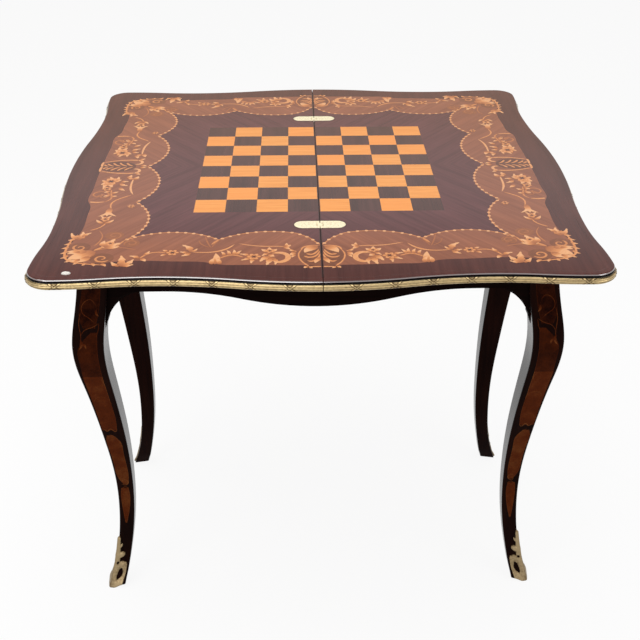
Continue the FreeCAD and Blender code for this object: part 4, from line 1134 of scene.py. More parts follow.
# Leaves: base, tip, width, bend, lobes.
LEAVES = (
    ((54, 315), (43, 309), 7, 0.1, 0), ((54, 315), (45, 324), 6.5, -0.1, 0), ((51, 314), (50, 303), 5, 0.1, 0),
    ((36, 334), (44, 343), 7, 0.1, 0), ((38, 330), (46, 327), 5, 0.1, 0), ((36, 340), (42, 350), 5, 0.1, 0),
    ((70, 346), (86, 362), 11, 0.15, 2), ((70, 348), (77, 373), 11, 0, 2), ((68, 350), (65, 372), 8, -0.1, 2),
    ((73, 338), (66, 346), 8, 0.1, 0), ((74, 336), (84, 344), 7, 0.1, 2), ((73, 336), (74, 316), 8, 0, 0),
    ((73, 330), (63, 322), 7.5, 0.1, 0), ((73, 330), (85, 322), 7.5, -0.1, 0),
    ((100, 344), (116, 337), 7, 0.1, 2), ((100, 347), (113, 357), 7.5, -0.1, 2),
    ((94, 352), (98, 367), 7, 0.1, 2), ((138, 343), (142, 329), 5, 0.15, 0),
    ((131, 341), (134, 325), 5.2, 0.15, 0), ((125, 340), (124, 323), 5.2, 0.1, 0),
    ((119, 341), (113, 326), 5, -0.1, 0), ((148, 369), (149, 334), 11, 0.05, 0),
    ((142, 369), (148, 350), 7, 0.1, 0), ((152, 369), (151, 350), 7, -0.1, 0),
    ((184, 330), (199, 306), 11, 0.15, 2), ((185, 331), (197, 342), 9, -0.1, 2),
    ((188, 330), (200, 328), 7, -0.1, 2), ((184, 329), (176, 318), 4.6, 0.1, 0),
    ((218, 336), (226, 341), 5, 0.1, 0), ((218, 328), (225, 322), 5, 0.1, 0),
    ((254, 348), (270, 340), 8, 0.1, 2), ((250, 338), (243, 325), 7, 0.1, 2),
    ((253, 349), (245, 358), 7, -0.1, 0), ((278, 372), (281, 338), 13, 0.05, 3),
    ((278, 372), (262, 350), 11, 0.1, 3), ((279, 372), (292, 358), 9, -0.1, 2),
    ((276, 371), (260, 366), 8, 0.1, 2), ((20, 377), (25, 383), 5.5, 0.1, 0),
    ((18, 378), (13, 383), 4.5, 0.1, 0), ((4.5, 314.5), (24, 335), 15, 0.12, 0),
    ((2, 350), (10, 368), 8, 0.05, 0), ((350, 286), (348, 258), 12, 0.1, 3),
    ((350, 284), (364, 262), 9, -0.1, 2), ((346, 276), (334, 262), 8, -0.1, 2),
    ((321, 172), (335, 204), 8, -0.2, 0), ((321, 172), (307, 204), 8, 0.2, 0),
    ((321, 174), (322, 204), 9, 0, 0), ((322, 226), (314, 202), 8, -0.1, 2),
    ((322, 226), (331, 202), 8, 0.1, 2), ((322, 230), (309, 216), 6, 0.1, 0),
    ((322, 230), (335, 216), 6, -0.1, 0), ((301, 58), (294, 44), 8, 0.1, 0), ((301, 58), (309, 45), 7, -0.1, 0),
    ((330, 106), (340, 112), 6, 0.1, 0), ((329, 114), (318, 108), 6, 0.1, 0),
    ((327, 122), (339, 128), 6, 0.1, 0), ((327, 130), (317, 126), 6, -0.1, 0),
    ((336, 68), (350, 80), 12, 0.1, 2), ((336, 68), (351, 60), 12, -0.1, 2), ((335, 70), (330, 90), 11, 0.1, 2),
    ((334, 66), (320, 58), 11, 0.1, 2), ((337, 70), (344, 94), 10, 0.1, 2), ((336, 64), (340, 46), 10, 0.1, 2),
    ((330, 64), (326, 46), 9, 0.1, 2), ((320, 72), (306, 84), 9, 0.15, 2), ((320, 70), (307, 66), 8, -0.1, 2),
    ((312, 52), (306, 38), 7, 0.1, 0), ((318, 92), (308, 104), 7, 0.1, 0), ((297, 4), (286, 2), 6, 0.1, 0),
    ((300, 28), (292, 36), 6, 0.1, 0), ((318, 327), (354, 350), 24, 0.05, 0),
    ((330, 326), (358, 332), 13, 0.1, 0), ((326, 340), (340, 358), 13, -0.1, 0),
    ((340, 328), (360, 326), 8, 0.15, 0), ((336, 350), (352, 354), 8, -0.1, 0),
    ((310, 311), (288, 297), 15, 0.05, 2), ((309, 310), (297, 284), 15, 0, 2),
    ((311, 309), (311, 290), 9, -0.1, 0), ((308, 312), (287, 309), 9, 0.1, 0),
)
# Flame fringe round the outer corner: base, tip, width.
FLAMES = (
    ((352, 270), (360, 277), 5), ((356, 281), (365, 287), 5.6), ((359, 294), (368, 302), 5),
    ((360, 308), (369, 314), 5.8), ((360, 322), (368, 331), 5.2), ((357, 335), (365, 346), 5.8),
    ((351, 347), (357, 358), 5.6), ((341, 354), (344, 365), 5.8), ((330, 360), (331, 369), 5.2),
    ((320, 363), (314, 371), 5.4), ((306, 365), (298, 372), 5.6),
)
# Rosettes: place, radius, petals.
ROSETTES = (
    ((73, 328), 6.5, 5), ((95, 346), 10, 6), ((210, 331), 9, 6), ((336, 65), 14, 6), ((290, 166), 6, 6),
    ((302, 299), 6.5, 5), ((338, 96), 8, 5), ((322, 214), 7.5, 5),
)
# Outer line of the border, which follows the serpentine edge at about the margin's width.
BORDER_LINE = (
    (-20, 373.5), (0, 373.5), (60, 373), (110, 371), (144, 368.5), (158, 363), (200, 358.5), (250, 355),
    (285, 357), (318, 361), (344, 354), (357, 336), (360, 312), (356, 288), (351, 262), (350, 225),
    (351.5, 190), (353.5, 162), (359, 147), (360, 110), (360.5, 60), (360.5, 0), (360.5, -20),
)


@dataclass
class BorderInlay:
    """Scrolls, flowers, shells and beaded lobes let into the border of a leaf; plan sizes in millimetres."""

    lobe_half_width: float = 284.0
    lobe_half_depth: float = 290.0
    lobe_rise: float = 27.0
    lobe_steps: int = 60
    lobe_line: tuple[float, float] = (2.1, 0.62)
    lobe_beads: tuple[float, float, float] = (13.0, 2.7, 0.95)
    cusp_share: float = 0.52
    seam_dip: tuple[tuple[float, float], ...] = (
        (0.6, 309.0), (5.3, 303.5), (12.6, 291.0), (22.0, 280.5), (33.0, 271.6))
    dip_steps: int = 24
    dip_columns: int = 4
    rib_widths: tuple[float, ...] = (1.4, 3.0, 3.8, 3.2)
    rib_tone: float = 0.80
    flame_bend: float = -0.2
    flame_tones: tuple[float, float] = (0.62, 0.92)
    dark_tone: float = -0.4
    plate_clear: float = 0.5
    plate_line: float = 1.1
    plate_start: float = 1.0
    plate_steps: int = 40
    seam_line: float = 1.2
    seam_steps: int = 60
    seam_end: float = 411.0
    edging_width: float = 15.0
    edging_steps: int = 400
    edging_lift: float = 0.000015
    lift: float = 0.00004
    seam: float = 0.0006

    def lobe_paths(self) -> list[Array]:
        """Circular arcs of the border's inner edge, with the sagitta as their rise.

        Returns:
            One path in millimetres for each lobe of a quarter.
        """
        wide, deep, rise = self.lobe_half_width, self.lobe_half_depth, self.lobe_rise
        cusp_x, cusp_y = self.cusp_share * wide, self.cusp_share * deep
        t = np.linspace(-1.0, 1.0, self.lobe_steps)
        lobes = ((0, cusp_x, True), (cusp_x, wide, True), (0, cusp_y, False), (cusp_y, deep, False))
        paths = []
        for low, high, at_end in lobes:
            half = (high - low) / 2
            radius = (half**2 + rise**2) / (2 * rise)
            run = low + half + half * t
            inset = np.sqrt(radius**2 - (half * t) ** 2) - (radius - rise)
            paths.append(np.stack([run, deep - inset], -1) if at_end else np.stack([wide - inset, run], -1))
        dip = np.asarray(self.seam_dip)
        first = paths[0]
        paths[0] = np.concatenate([path_through(dip, self.dip_steps)[:-1], first[first[:, 0] > dip[-1, 0]]])
        return paths

    def dip_ground(self) -> Array:
        """Ground between the lobe's arc and its dip at the seam, as a grid in millimetres.

        Returns:
            Points, along the arc by across.
        """
        half = self.cusp_share * self.lobe_half_width / 2
        radius = (half**2 + self.lobe_rise**2) / (2 * self.lobe_rise)
        dip = path_through(self.seam_dip, self.dip_steps)
        arc = self.lobe_half_depth + radius - self.lobe_rise - np.sqrt(radius**2 - (dip[:, 0] - half) ** 2)
        share = np.linspace(0.0, 1.0, self.dip_columns)
        along = arc[:, None] * (1.0 - share) + dip[:, 1:] * share
        return np.stack([np.broadcast_to(dip[:, :1], along.shape), along], -1)

    def place(self, side: Side, end: End) -> Place:
        """Map from millimetres in a quarter to places above the veneer, kept off the seam.

        Args:
            side: Leaf of the quarter.
            end: End of the quarter.

        Returns:
            The map, from plan points and a lift.
        """
        def laid(plan: Array, lift: float) -> Array:
            """Places at the given lift, by the signs of the quarter.

            Args:
                plan: Millimetres from the centre.
                lift: Height above the veneer in metres.

            Returns:
                Places in metres.
            """
            across = np.maximum(plan[..., 0] * MM, self.seam) * side.value
            along = np.maximum(plan[..., 1], 0.0) * MM * end.value
            return np.stack([across, along, np.full(plan.shape[:-1], TABLE_TOP + lift)], -1)

        return laid

    def cutters(self, surface: Surface, side: Side, lift: float, turned: bool = False) -> list[Cutter]:
        """Cutters of the front and the back quarter of a leaf, the back mirrored from the front.

        Args:
            surface: Mesh that takes the shapes.
            side: Leaf that is inlaid.
            lift: Height of the first shape above the veneer.
            turned: True for shapes that run the other way round.

        Returns:
            The two cutters.
        """
        flips = [(side.value * end.value < 0) != turned for end in End]
        return [Cutter(surface, self.place(side, end), flip, lift) for end, flip in zip(End, flips)]

    def quarter(self, cutter: Cutter) -> None:
        """Lay every shape of one quarter.

        Args:
            cutter: Cutter of the quarter.
        """
        for ground in GROUNDS:
            cutter.oval(*ground)
        for path in self.lobe_paths():
            cutter.strip(path, *self.lobe_line)
            cutter.beads(path, *self.lobe_beads)
        for points in SHELL_RIBS:
            cutter.stem(points, self.rib_widths, self.rib_tone)
        for stem in STEMS:
            cutter.stem(*stem)
        for volute in VOLUTES:
            cutter.volute(*volute)
        for base, tip, width in FLAMES:
            cutter.leaf(base, tip, width, self.flame_bend, 0, self.flame_tones)
        for leaf in LEAVES:
            cutter.leaf(*leaf)
        for rosette in ROSETTES:
            cutter.rosette(*rosette)
        self.dark_lines(cutter)

    def dark_lines(self, cutter: Cutter) -> None:
        """Dark line along the seam, and a painted shadow round the hinge plate: a straight, a half circle and a
        straight.

        Args:
            cutter: Cutter of the quarter.
        """
        low, high = (np.asarray(corner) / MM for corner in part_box("back_right_hinge_plate"))
        middle, half = (low[1] + high[1]) / 2, (high[1] - low[1]) / 2 + self.plate_clear
        angle = np.linspace(-math.pi / 2, math.pi / 2, self.plate_steps)
        bow = np.array([high[0] - half + self.plate_clear, middle]) + half * rays(angle)
        ends = np.array([[self.plate_start, middle - half], [self.plate_start, middle + half]])
        # Painted shadow round the hinge plate.
        cutter.strip(np.concatenate([ends[:1], bow, ends[1:]]), self.plate_line, self.dark_tone)
        for start, stop in ((0.0, middle - half), (middle + half, self.seam_end)):
            along = np.linspace(start, stop, self.seam_steps)
            cutter.strip(np.stack([np.full_like(along, self.seam_line), along], -1), self.seam_line, self.dark_tone)

    def build(self, side: Side, material: bpy.types.Material) -> None:
        """Lay the marquetry of one leaf.

        Args:
            side: Leaf that is inlaid.
            material: Finish of the marquetry.
        """
        surface = Surface()
        for cutter in self.cutters(surface, side, self.lift):
            self.quarter(cutter)
        surface.build(f"{side.word}_border_inlay", f"{side.word}_leaf", "border_veneer", material)

    def dips(self, side: Side, field: bpy.types.Material) -> None:
        """Ground of the dips at the seam, in the wood of the field.

        Args:
            side: Leaf that is inlaid.
            field: Finish of the field.
        """
        surface = Surface()
        for cutter in self.cutters(surface, side, self.edging_lift, turned=True):
            cutter.lay(self.dip_ground(), 0.0)
        surface.build(f"{side.word}_field_edging", f"{side.word}_leaf", "field_veneer", field)

    def edging(self, side: Side, border: bpy.types.Material, margin: bpy.types.Material) -> None:
        """Strips on both sides of the border's outer line, in the woods of the border and of the margin.

        Args:
            side: Leaf that is inlaid.
            border: Finish of the border.
            margin: Finish of the margin.
        """
        line = path_through(BORDER_LINE, self.edging_steps)
        step = right_of(line) * self.edging_width / 2
        for name, wood, path in (("border", border, line + step), ("margin", margin, line - step)):
            surface = Surface()
            for cutter in self.cutters(surface, side, self.edging_lift):
                cutter.strip(path, self.edging_width, 0.0)
            surface.build(f"{side.word}_{name}_edging", f"{side.word}_leaf", f"{name}_veneer", wood)


# Legs


@dataclass(frozen=True)
class LegShape:
    """Centre line and width of a cabriole leg, in metres and in shares of its length."""

    centre_across: float = 0.375
    centre_along: float = 0.182
    throw: float = 0.0245
    knee_width: float = 0.0514
    high: float = 0.7437
    low: float = 0.002
    arris: float = 0.003
    heel_lift: float = 0.009
    heel_height: float = 0.035
    depths: tuple[float, ...] = (0.0, 0.072, 0.140, 0.207, 0.285, 0.408, 0.552, 0.695, 0.818, 0.920, 1.0)
    throws: tuple[float, ...] = (-0.73, -0.72, -0.62, -0.34, 0.0, -0.28, -0.79, -1.05, -0.91, -0.45, 0.14)
    widths: tuple[float, ...] = (0.934, 0.934, 0.940, 0.969, 1.0, 0.880, 0.740, 0.585, 0.520, 0.500, 0.584)

    def at(self, height: Array) -> tuple[Array, Array]:
        """Set-out of the centre from the knee's and half of the width, splines over the sections' depths.

        Args:
            height: Heights above the floor.

        Returns:
            Set-out and half width at each height.
        """
        share = np.clip((self.high - np.asarray(height, float)) / (self.high - self.low), 0.0, 1.0)
        table = np.stack([self.throws, self.widths], -1)
        values = spline(np.array(self.depths), table, share.ravel())
        out, half = values[:, 0] * self.throw, values[:, 1] * self.knee_width / 2
        return out.reshape(share.shape), half.reshape(share.shape)


@dataclass
class CabrioleLeg:
    """One leg with its inlaid panels and its cast shoe."""

    shape: LegShape
    side: Side
    end: End
    lift: float = 0.00012
    rows: int = 150
    arris_steps: int = 7
    flat_shares: tuple[float, ...] = (0.06, 0.5, 0.94)
    panel_rows: int = 70
    panel_columns: int = 5
    string_width: float = 0.7
    sole_shares: tuple[float, float] = (0.05, 0.9)

    @property
    def word(self) -> str:
        """Corner of the table, as in the node names."""
        return f"{self.end.word}_{self.side.word}"

    def centre(self, height: Array) -> tuple[Array, Array, Array]:
        """Centre of the section and half of its width.

        Args:
            height: Heights above the floor.

        Returns:
            Place across, place along and half width.
        """
        out, half = self.shape.at(height)
        across = self.side.value * (self.shape.centre_across + out)
        along = self.end.value * (self.shape.centre_along + out)
        return across, along, half

    def wood(self, material: bpy.types.Material) -> None:
        """Square sections with rounded arrises along the leg's S-shaped centre line, the heel lifted a little.

        Args:
            material: Finish of the leg.
        """
        height = np.linspace(self.shape.low, self.shape.high, self.rows)
        across, along, half = self.centre(height)
        turn = np.linspace(0.0, math.pi / 2, self.arris_steps)
        signs = np.array([[1, 1], [-1, 1], [-1, -1], [1, -1]], float)
        ray = rays(turn[None, :] + np.arange(4)[:, None] * math.pi / 2)
        inner = half[:, None, None, None] - self.shape.arris
        corner = signs[None, :, None, :] * inner + self.shape.arris * ray[None]
        follow = np.roll(corner, -1, axis=1)[:, :, :1]
        share = np.array(self.flat_shares)[None, None, :, None]
        flat = corner[:, :, -1:] * (1 - share) + follow * share
        ring = np.concatenate([corner, flat], 2).reshape(len(height), -1, 2)
        inward = 0.5 - (ring @ np.array([self.side.value, self.end.value])) / (4.0 * half[:, None])
        lifted = self.shape.heel_lift * (1.0 - smooth(0.0, self.shape.heel_height, height - self.shape.low))
        level = height[:, None] + lifted[:, None] * inward
        ring = ring + np.stack([across, along], -1)[:, None, :]
        surface = Surface()
        surface.bar(np.concatenate([ring, level[..., None]], -1), end_tone=1.0)
        surface.build(f"{self.word}_leg_wood", "base", "leg_wood", material, (f"{self.word}_leg",))

    def face(self, facing_end: bool) -> tuple[Place, bool]:
        """Map of an outer face: millimetres from its middle towards the outer arris, then height in millimetres.

        Args:
            facing_end: True for the face towards the front or back, False for the one towards the side.

        Returns:
            The map, and True where it turns shapes round.
        """
        def place(plan: Array, lift: float) -> Array:
            """Places just above the wood: centre + signs * (plan, half width + lift).

            Args:
                plan: Millimetres on the face.
                lift: Height above the wood in metres.

            Returns:
                Places in metres.
            """
            height = plan[..., 1] * MM
            across, along, half = self.centre(height)
            if facing_end:
                return np.stack([across + self.side.value * plan[..., 0] * MM,
                                 along + self.end.value * (half + lift), height], -1)
            return np.stack([across + self.side.value * (half + lift),
                             along + self.end.value * plan[..., 0] * MM, height], -1)

        turned = self.side.value * self.end.value > 0
        return place, turned if facing_end else not turned

    def inlay(self, material: bpy.types.Material) -> None:
        """Lay the panels, their strings and the knee scroll on both outer faces.

        Args:
            material: Finish of the inlay.
        """
        surface = Surface()
        for facing_end in (True, False):
            cutter = Cutter(surface, *self.face(facing_end), self.lift)
            for rows, tone, strings in LEG_PANELS:
                self.panel(cutter, np.asarray(rows, float), tone, strings)
            for stem in LEG_STEMS:
                cutter.stem(*stem)
            for leaf in LEG_LEAVES:
                cutter.leaf(*leaf, LEG_LEAF_TONES)
        surface.build(f"{self.word}_leg_inlay", "base", "leg_wood", material)

    def panel(self, cutter: Cutter, rows: Array, tone: float, strings: tuple[float, float]) -> None:
        """Panel between two edges given as shares of the half width, with a thin string along each edge.

        Args:
            cutter: Cutter of the face.
            rows: Height in millimetres, inner and outer share, from the top down.
            tone: Tone of the panel.
            strings: Tones of the inner and the outer string.
        """
        height = np.linspace(rows[-1, 0], rows[0, 0], self.panel_rows)
        edges = spline(rows[::-1, 0].copy(), rows[::-1, 1:].copy(), height)
        _, half = self.shape.at(height * MM)
        edges = edges * half[:, None] / MM
        share = np.linspace(0.0, 1.0, self.panel_columns)
        across = edges[:, :1] * (1.0 - share) + edges[:, 1:] * share
        plan = np.stack([across, np.broadcast_to(height[:, None], across.shape)], -1)
        cutter.lay(plan, tone)
        for column, shade in enumerate(strings):
            cutter.strip(np.stack([edges[:, column], height], -1), self.string_width, shade, columns=2)

    def shoe(self, relief: "ShoeRelief", material: bpy.types.Material) -> None:
        """Cast shoe: the leg's outer arris and faces pushed out along their normals by the relief.

        Args:
            relief: Relief of the casting.
            material: Finish of the casting.
        """
        around = np.linspace(-relief.reach, relief.reach, relief.columns)
        height = relief.heights()
        rise = relief.at(around[None, :], height[:, None])
        plan, normal = self.arris(around * MM, height * MM)
        shell = plan + normal * (rise * MM)[..., None]
        level = relief.lift(around[None, :], height[:, None]) * MM
        grid = np.concatenate([shell, level[..., None]], -1)
        centre = np.array([value[0] for value in self.centre(np.zeros(1))[:2]])
        inner, outer = (centre + (shell[0] - centre) * share for share in self.sole_shares)
        rim = np.concatenate([outer, level[:1].T], -1)
        hub = np.concatenate([inner, np.full((len(around), 1), level[0].mean())], -1)
        grid = np.concatenate([hub[None], rim[None], grid], 0)
        tone = relief.patina(rise)
        tone = np.concatenate([tone[:1], tone[:1], tone], 0)
        surface = Surface()
        surface.add(grid, tone, flip=self.side.value * self.end.value < 0)
        surface.build(f"{self.word}_shoe", "base", "gilt_brass", material, (f"{self.word}_sabot",))

    def arris(self, around: Array, height: Array) -> tuple[Array, Array]:
        """Surface of the wood round the outer arris: a flat, a quarter circle and a flat.

        Args:
            around: Distance round the arris, negative on the side face.
            height: Heights above the floor.

        Returns:
            Places in plan and outward normals, heights by distances.
        """
        out, half = self.shape.at(np.maximum(height, self.shape.low))
        arc = self.shape.arris * math.pi / 4
        ray = rays(math.pi / 4 + np.clip(around, -arc, arc) / self.shape.arris)
        beyond = np.stack([-np.maximum(around - arc, 0.0), np.minimum(around + arc, 0.0)], -1)
        middle = np.stack([self.shape.centre_across + out, self.shape.centre_along + out], -1)
        inner = (half - self.shape.arris)[:, None, None]
        plan = middle[:, None, :] + inner + self.shape.arris * ray[None] + beyond[None]
        sign = np.array([self.side.value, self.end.value], float)
        return plan * sign, np.broadcast_to(ray * sign, plan.shape)


# Inlay of a leg's outer face. Panels: height in millimetres, inner and outer edge in shares of the half width;
# tone; tone of the string along the inner and the outer edge.
LEG_PANELS = (
    (((738, -0.56, 0.5), (690, -0.56, 0.52), (650, -0.56, 0.58), (610, -0.56, 0.66), (580, -0.5, 0.62),
     (564, -0.4, 0.3)), 0.09, (0.24, 0.18)),
    (((557, -0.56, -0.2), (545, -0.58, 0.2), (528, -0.58, 0.6), (505, -0.58, 0.66), (470, -0.56, 0.74)), 0.2,
     (0.4, 0.26)), (((471, -0.56, 0.76), (445, -0.56, 0.78), (414, -0.56, 0.8)), 0.44, (0.66, 0.4)),
    (((415, -0.56, 0.8), (395, -0.58, 0.8), (368, -0.54, 0.82), (349, -0.4, 0.84)), 0.4, (0.5, 0.42)),
    (((337, 0.1, 0.6), (326, -0.34, 0.78), (300, -0.5, 0.8), (260, -0.56, 0.76), (232, -0.52, 0.52),
     (221, -0.4, 0.1)), 0.48, (0.6, 0.52)),
    (((212, -0.36, 0.46), (199, -0.48, 0.58), (172, -0.42, 0.54), (148, -0.2, 0.34), (133, 0, 0.12)), 0.47,
     (0.58, 0.52)),
)
# Stems: points in millimetres from the face's middle and above the floor, widths, tone.
LEG_STEMS = (
    (((-9, 601), (2, 612), (13, 604), (12, 590), (0, 581), (-8, 574)), (0.7, 1.2, 0.9), 0.48),
    (((15, 592), (16, 572), (12, 555), (11, 543), (13, 532)), (0.7, 1.2, 0.9), 0.5),
    (((-16, 573), (-6, 566), (6, 561), (11, 552)), (0.7, 1.3, 0.8), 0.5),
    (((-16, 573), (-16, 560), (-13, 549)), (0.7, 1, 0.6), 0.42),
    (((-10, 466), (-12, 459), (-10, 452)), (0.8, 1.4, 0.6), 0.6),
    (((15, 414), (8, 424), (-2, 426), (-11, 419), (-13, 409)), (0.6, 1, 0.6), 0.56),
    (((14, 353), (8, 347), (2, 352), (-4, 346), (-9, 350)), (1, 1.9, 1), 0.66),
    (((7, 340), (0, 334), (-6, 322), (-8, 306)), (0.6, 1.1, 0.6), 0.56),
    (((4, 228), (-3, 231), (-7, 225), (-2, 219), (5, 221)), (0.8, 1.5, 0.8), 0.66),
    (((6, 210), (0, 215), (-7, 211)), (0.7, 1.2, 0.7), 0.58),
)
# Tones of the leaves at base and tip; leaves: base, tip, width, bend, lobes.
LEG_LEAF_TONES = (0.30, 0.55)
LEG_LEAVES = (
    ((12, 545), (15, 526), 4, 0.2, 0), ((10, 538), (3, 528), 3.5, 0.2, 0),
    ((-10, 596), (-15, 584), 3.5, -0.2, 0),
)


@dataclass(frozen=True)
class ShoeRelief:
    """Relief of a cast shoe, in millimetres round the arris and above the floor.

    A table over the height is a row of heights and a row of values. An oval is its centre, its radii and its
    turn in degrees.
    """

    top: float = 104.5
    reach: float = 24.4
    columns: int = 153
    rows: int = 160
    sole: float = 3.0
    sole_rows: int = 7
    sunk: float = -1.2
    cut: float = 0.02
    heel_lift: float = 7.0
    heel_start: float = 6.0
    heel_height: float = 30.0
    bright: float = 0.75
    bright_rise: float = 4.0
    spine_spread: Table = ((0, 17, 38, 52, 64, 76, 90, 99, 104), (12, 11, 9, 7.4, 6.6, 4.8, 3.4, 3.2, 0.4))
    spine_rise: Table = ((0, 14, 30, 46, 60, 80, 94, 100, 104), (0.9, 1.1, 1.5, 2.1, 2.9, 3.4, 3.8, 3.6, 0.8))
    leaf: Oval = ((6.4, 64.5), (8.8, 6.2), 28.0)
    leaf_rise: float = 2.8
    barb: Oval = ((4.4, 83.0), (5.4, 2.8), 64.0)
    barb_rise: float = 2.2
    scroll: Oval = ((12.0, 26.5), (9.8, 17.2), 0.0)
    scroll_width: float = 0.48
    scroll_rise: float = 1.7
    curl: Oval = ((15.0, 46.0), (6.0, 3.6), 35.0)
    curl_rise: float = 1.9
    toe_height: float = 12.0
    toe_rise: tuple[float, float] = (1.0, 1.5)
    toe_start: float = 10.0
    eye: Oval = ((11.8, 26.5), (4.2, 12.6), -8.0)
    eye_edge: float = 0.70
    hole: Oval = ((4.0, 48.5), (2.6, 3.4), 0.0)
    hole_edge: float = 0.6
    inner_edge: Table = ((0, 12, 31, 43, 50), (24.0, 23.8, 23.0, 22.0, 22.0))
    inner_fade: tuple[float, float] = (-0.6, 0.8)

    def heights(self) -> Array:
        """Heights of the rows, closer together at the sole."""
        sole = np.linspace(0.0, self.sole, self.sole_rows)[:-1]
        return np.concatenate([sole, np.linspace(self.sole, self.top, self.rows)])

    @staticmethod
    def ridge(distance: Array, rise: Array | float) -> Array:
        """Rounded ridge: rise * (1 - distance^2)^0.4 within a distance of 1, nothing beyond it."""
        return rise * np.clip(1.0 - distance**2, 0.0, 1.0) ** 0.4

    @staticmethod
    def within(around: Array, height: Array, oval: Oval) -> Array:
        """Distance from the centre of an oval, 1 on the oval itself.

        Args:
            around: Distance round the arris.
            height: Height above the floor.
            oval: Centre, radii and turn of the oval.

        Returns:
            The distance in radii.
        """
        centre, radii, turn = oval
        cosine, sine = math.cos(math.radians(turn)), math.sin(math.radians(turn))
        across, up = around - centre[0], height - centre[1]
        return np.hypot((across * cosine + up * sine) / radii[0], (up * cosine - across * sine) / radii[1])

    def at(self, around: Array, height: Array) -> Array:
        """Soft union, the fourth root of the sum of fourth powers, of the ridges, with two piercings.

        Args:
            around: Distance round the arris.
            height: Height above the floor.

        Returns:
            Rise above the wood.
        """
        apart = np.abs(around)
        ring = np.abs(self.within(apart, height, self.scroll) - 1.0) / self.scroll_width
        toe, beside = self.toe_rise
        parts = np.stack([
            self.ridge(apart / np.interp(height, *self.spine_spread), np.interp(height, *self.spine_rise)),
            self.ridge(self.within(apart, height, self.leaf), self.leaf_rise),
            self.ridge(self.within(apart, height, self.barb), self.barb_rise),
            self.ridge(ring, self.scroll_rise),
            self.ridge(self.within(apart, height, self.curl), self.curl_rise),
            self.ridge((height - self.sole) / self.toe_height, toe + beside * smooth(0.0, self.toe_start, apart)),
        ])
        rise = np.sum(parts**4, axis=0) ** 0.25
        rise = np.where(rise > self.cut, rise, self.sunk)
        eye = smooth(1.0, self.eye_edge, self.within(apart, height, self.eye))
        hole = smooth(1.0, self.hole_edge, self.within(apart, height, self.hole))
        rise = rise + (self.sunk - rise) * np.maximum(eye, hole)
        beyond = apart - np.interp(height, *self.inner_edge)
        return rise + (self.sunk - rise) * smooth(*self.inner_fade, beyond)

    def lift(self, around: Array, height: Array) -> Array:
        """Height of the casting's points: the sole rises from the toe towards the heel."""
        heel = self.heel_lift * smooth(self.heel_start, self.reach, np.abs(around))
        return height + heel * (1.0 - smooth(0.0, self.heel_height, height))

    def patina(self, rise: Array) -> Array:
        """Tone of the casting: bright on the ridges and brown in the hollows."""
        return np.clip(self.bright - rise / self.bright_rise, 0.0, 1.0)


@dataclass(frozen=True)
class ApronEar:
    """Bracket that carries the lower edge of an apron down the inner side of a leg in a quarter oval."""

    shape: LegShape
    reach: float = 0.068
    drop: float = 0.096
    bite: float = 0.0172
    reveal: float = 0.002
    thickness: float = 0.022
    inset: float = 0.0004
    apron_low: float = 0.6207
    buried: float = 0.030
    steps: int = 40

    def section(self, centre: float) -> Array:
        """Lower edge of the ear: a quarter oval from the leg's inner side to the level edge.

        Args:
            centre: Place of the leg's centre along the apron.

        Returns:
            Places along the apron and heights.
        """
        out, half = self.shape.at(np.array([self.shape.high]))
        inner = centre + out[0] - half[0] + self.bite
        angle = np.linspace(0.0, math.pi / 2, self.steps)
        return np.stack([inner - self.reach * (1.0 - np.cos(angle)),
                         self.apron_low - self.drop * (1.0 - np.sin(angle))], -1)

    def build(self, side: Side, end: End, material: bpy.types.Material) -> None:
        """Both ears at one leg, each a closed ring of four points carried along its lower edge.

        Args:
            side: Side of the leg.
            end: End of the leg.
            material: Finish of the aprons.
        """
        out, half = self.shape.at(np.array([self.shape.high]))
        surface = Surface()
        for lengthwise in (True, False):
            along, across = self.shape.centre_across, self.shape.centre_along
            if not lengthwise:
                along, across = across, along
            edge = self.section(along)
            face = across + out[0] + half[0] - self.reveal - self.inset
            back = face - self.thickness + 2 * self.inset
            top = np.maximum(edge[:, 1] + self.buried, self.apron_low + self.inset)
            depth = np.broadcast_to(np.array([face, face, back, back]), (len(edge), 4))
            height = np.stack([top, edge[:, 1], edge[:, 1], top], -1)
            run = np.broadcast_to(edge[:, :1], depth.shape)
            plan = (run, depth) if lengthwise else (depth, run)
            grid = np.stack([plan[0] * side.value, plan[1] * end.value, height], -1)
            turned = (side.value * end.value > 0) != lengthwise
            surface.bar(grid, flip=turned)
        surface.build(f"{end.word}_{side.word}_ears", "base", "apron_wood", material)


# Dressing and studio


@dataclass(frozen=True)
class Dressing:
    """Finish of every slot of the record, laid on the nodes that stay in view."""

    finishes: dict[str, bpy.types.Material]

    def dress(self) -> None:
        """Give each node the finish of its slot."""
        slots = {row["node"]: row["material_slot"] for row in frame["record"]["subparts"]}
        for name, node in frame["nodes"].items():
            node.data.materials.clear()
            node.data.materials.append(self.finishes[slots[name]])
            LOG.info("%s: dressed as %s", name, slots[name])


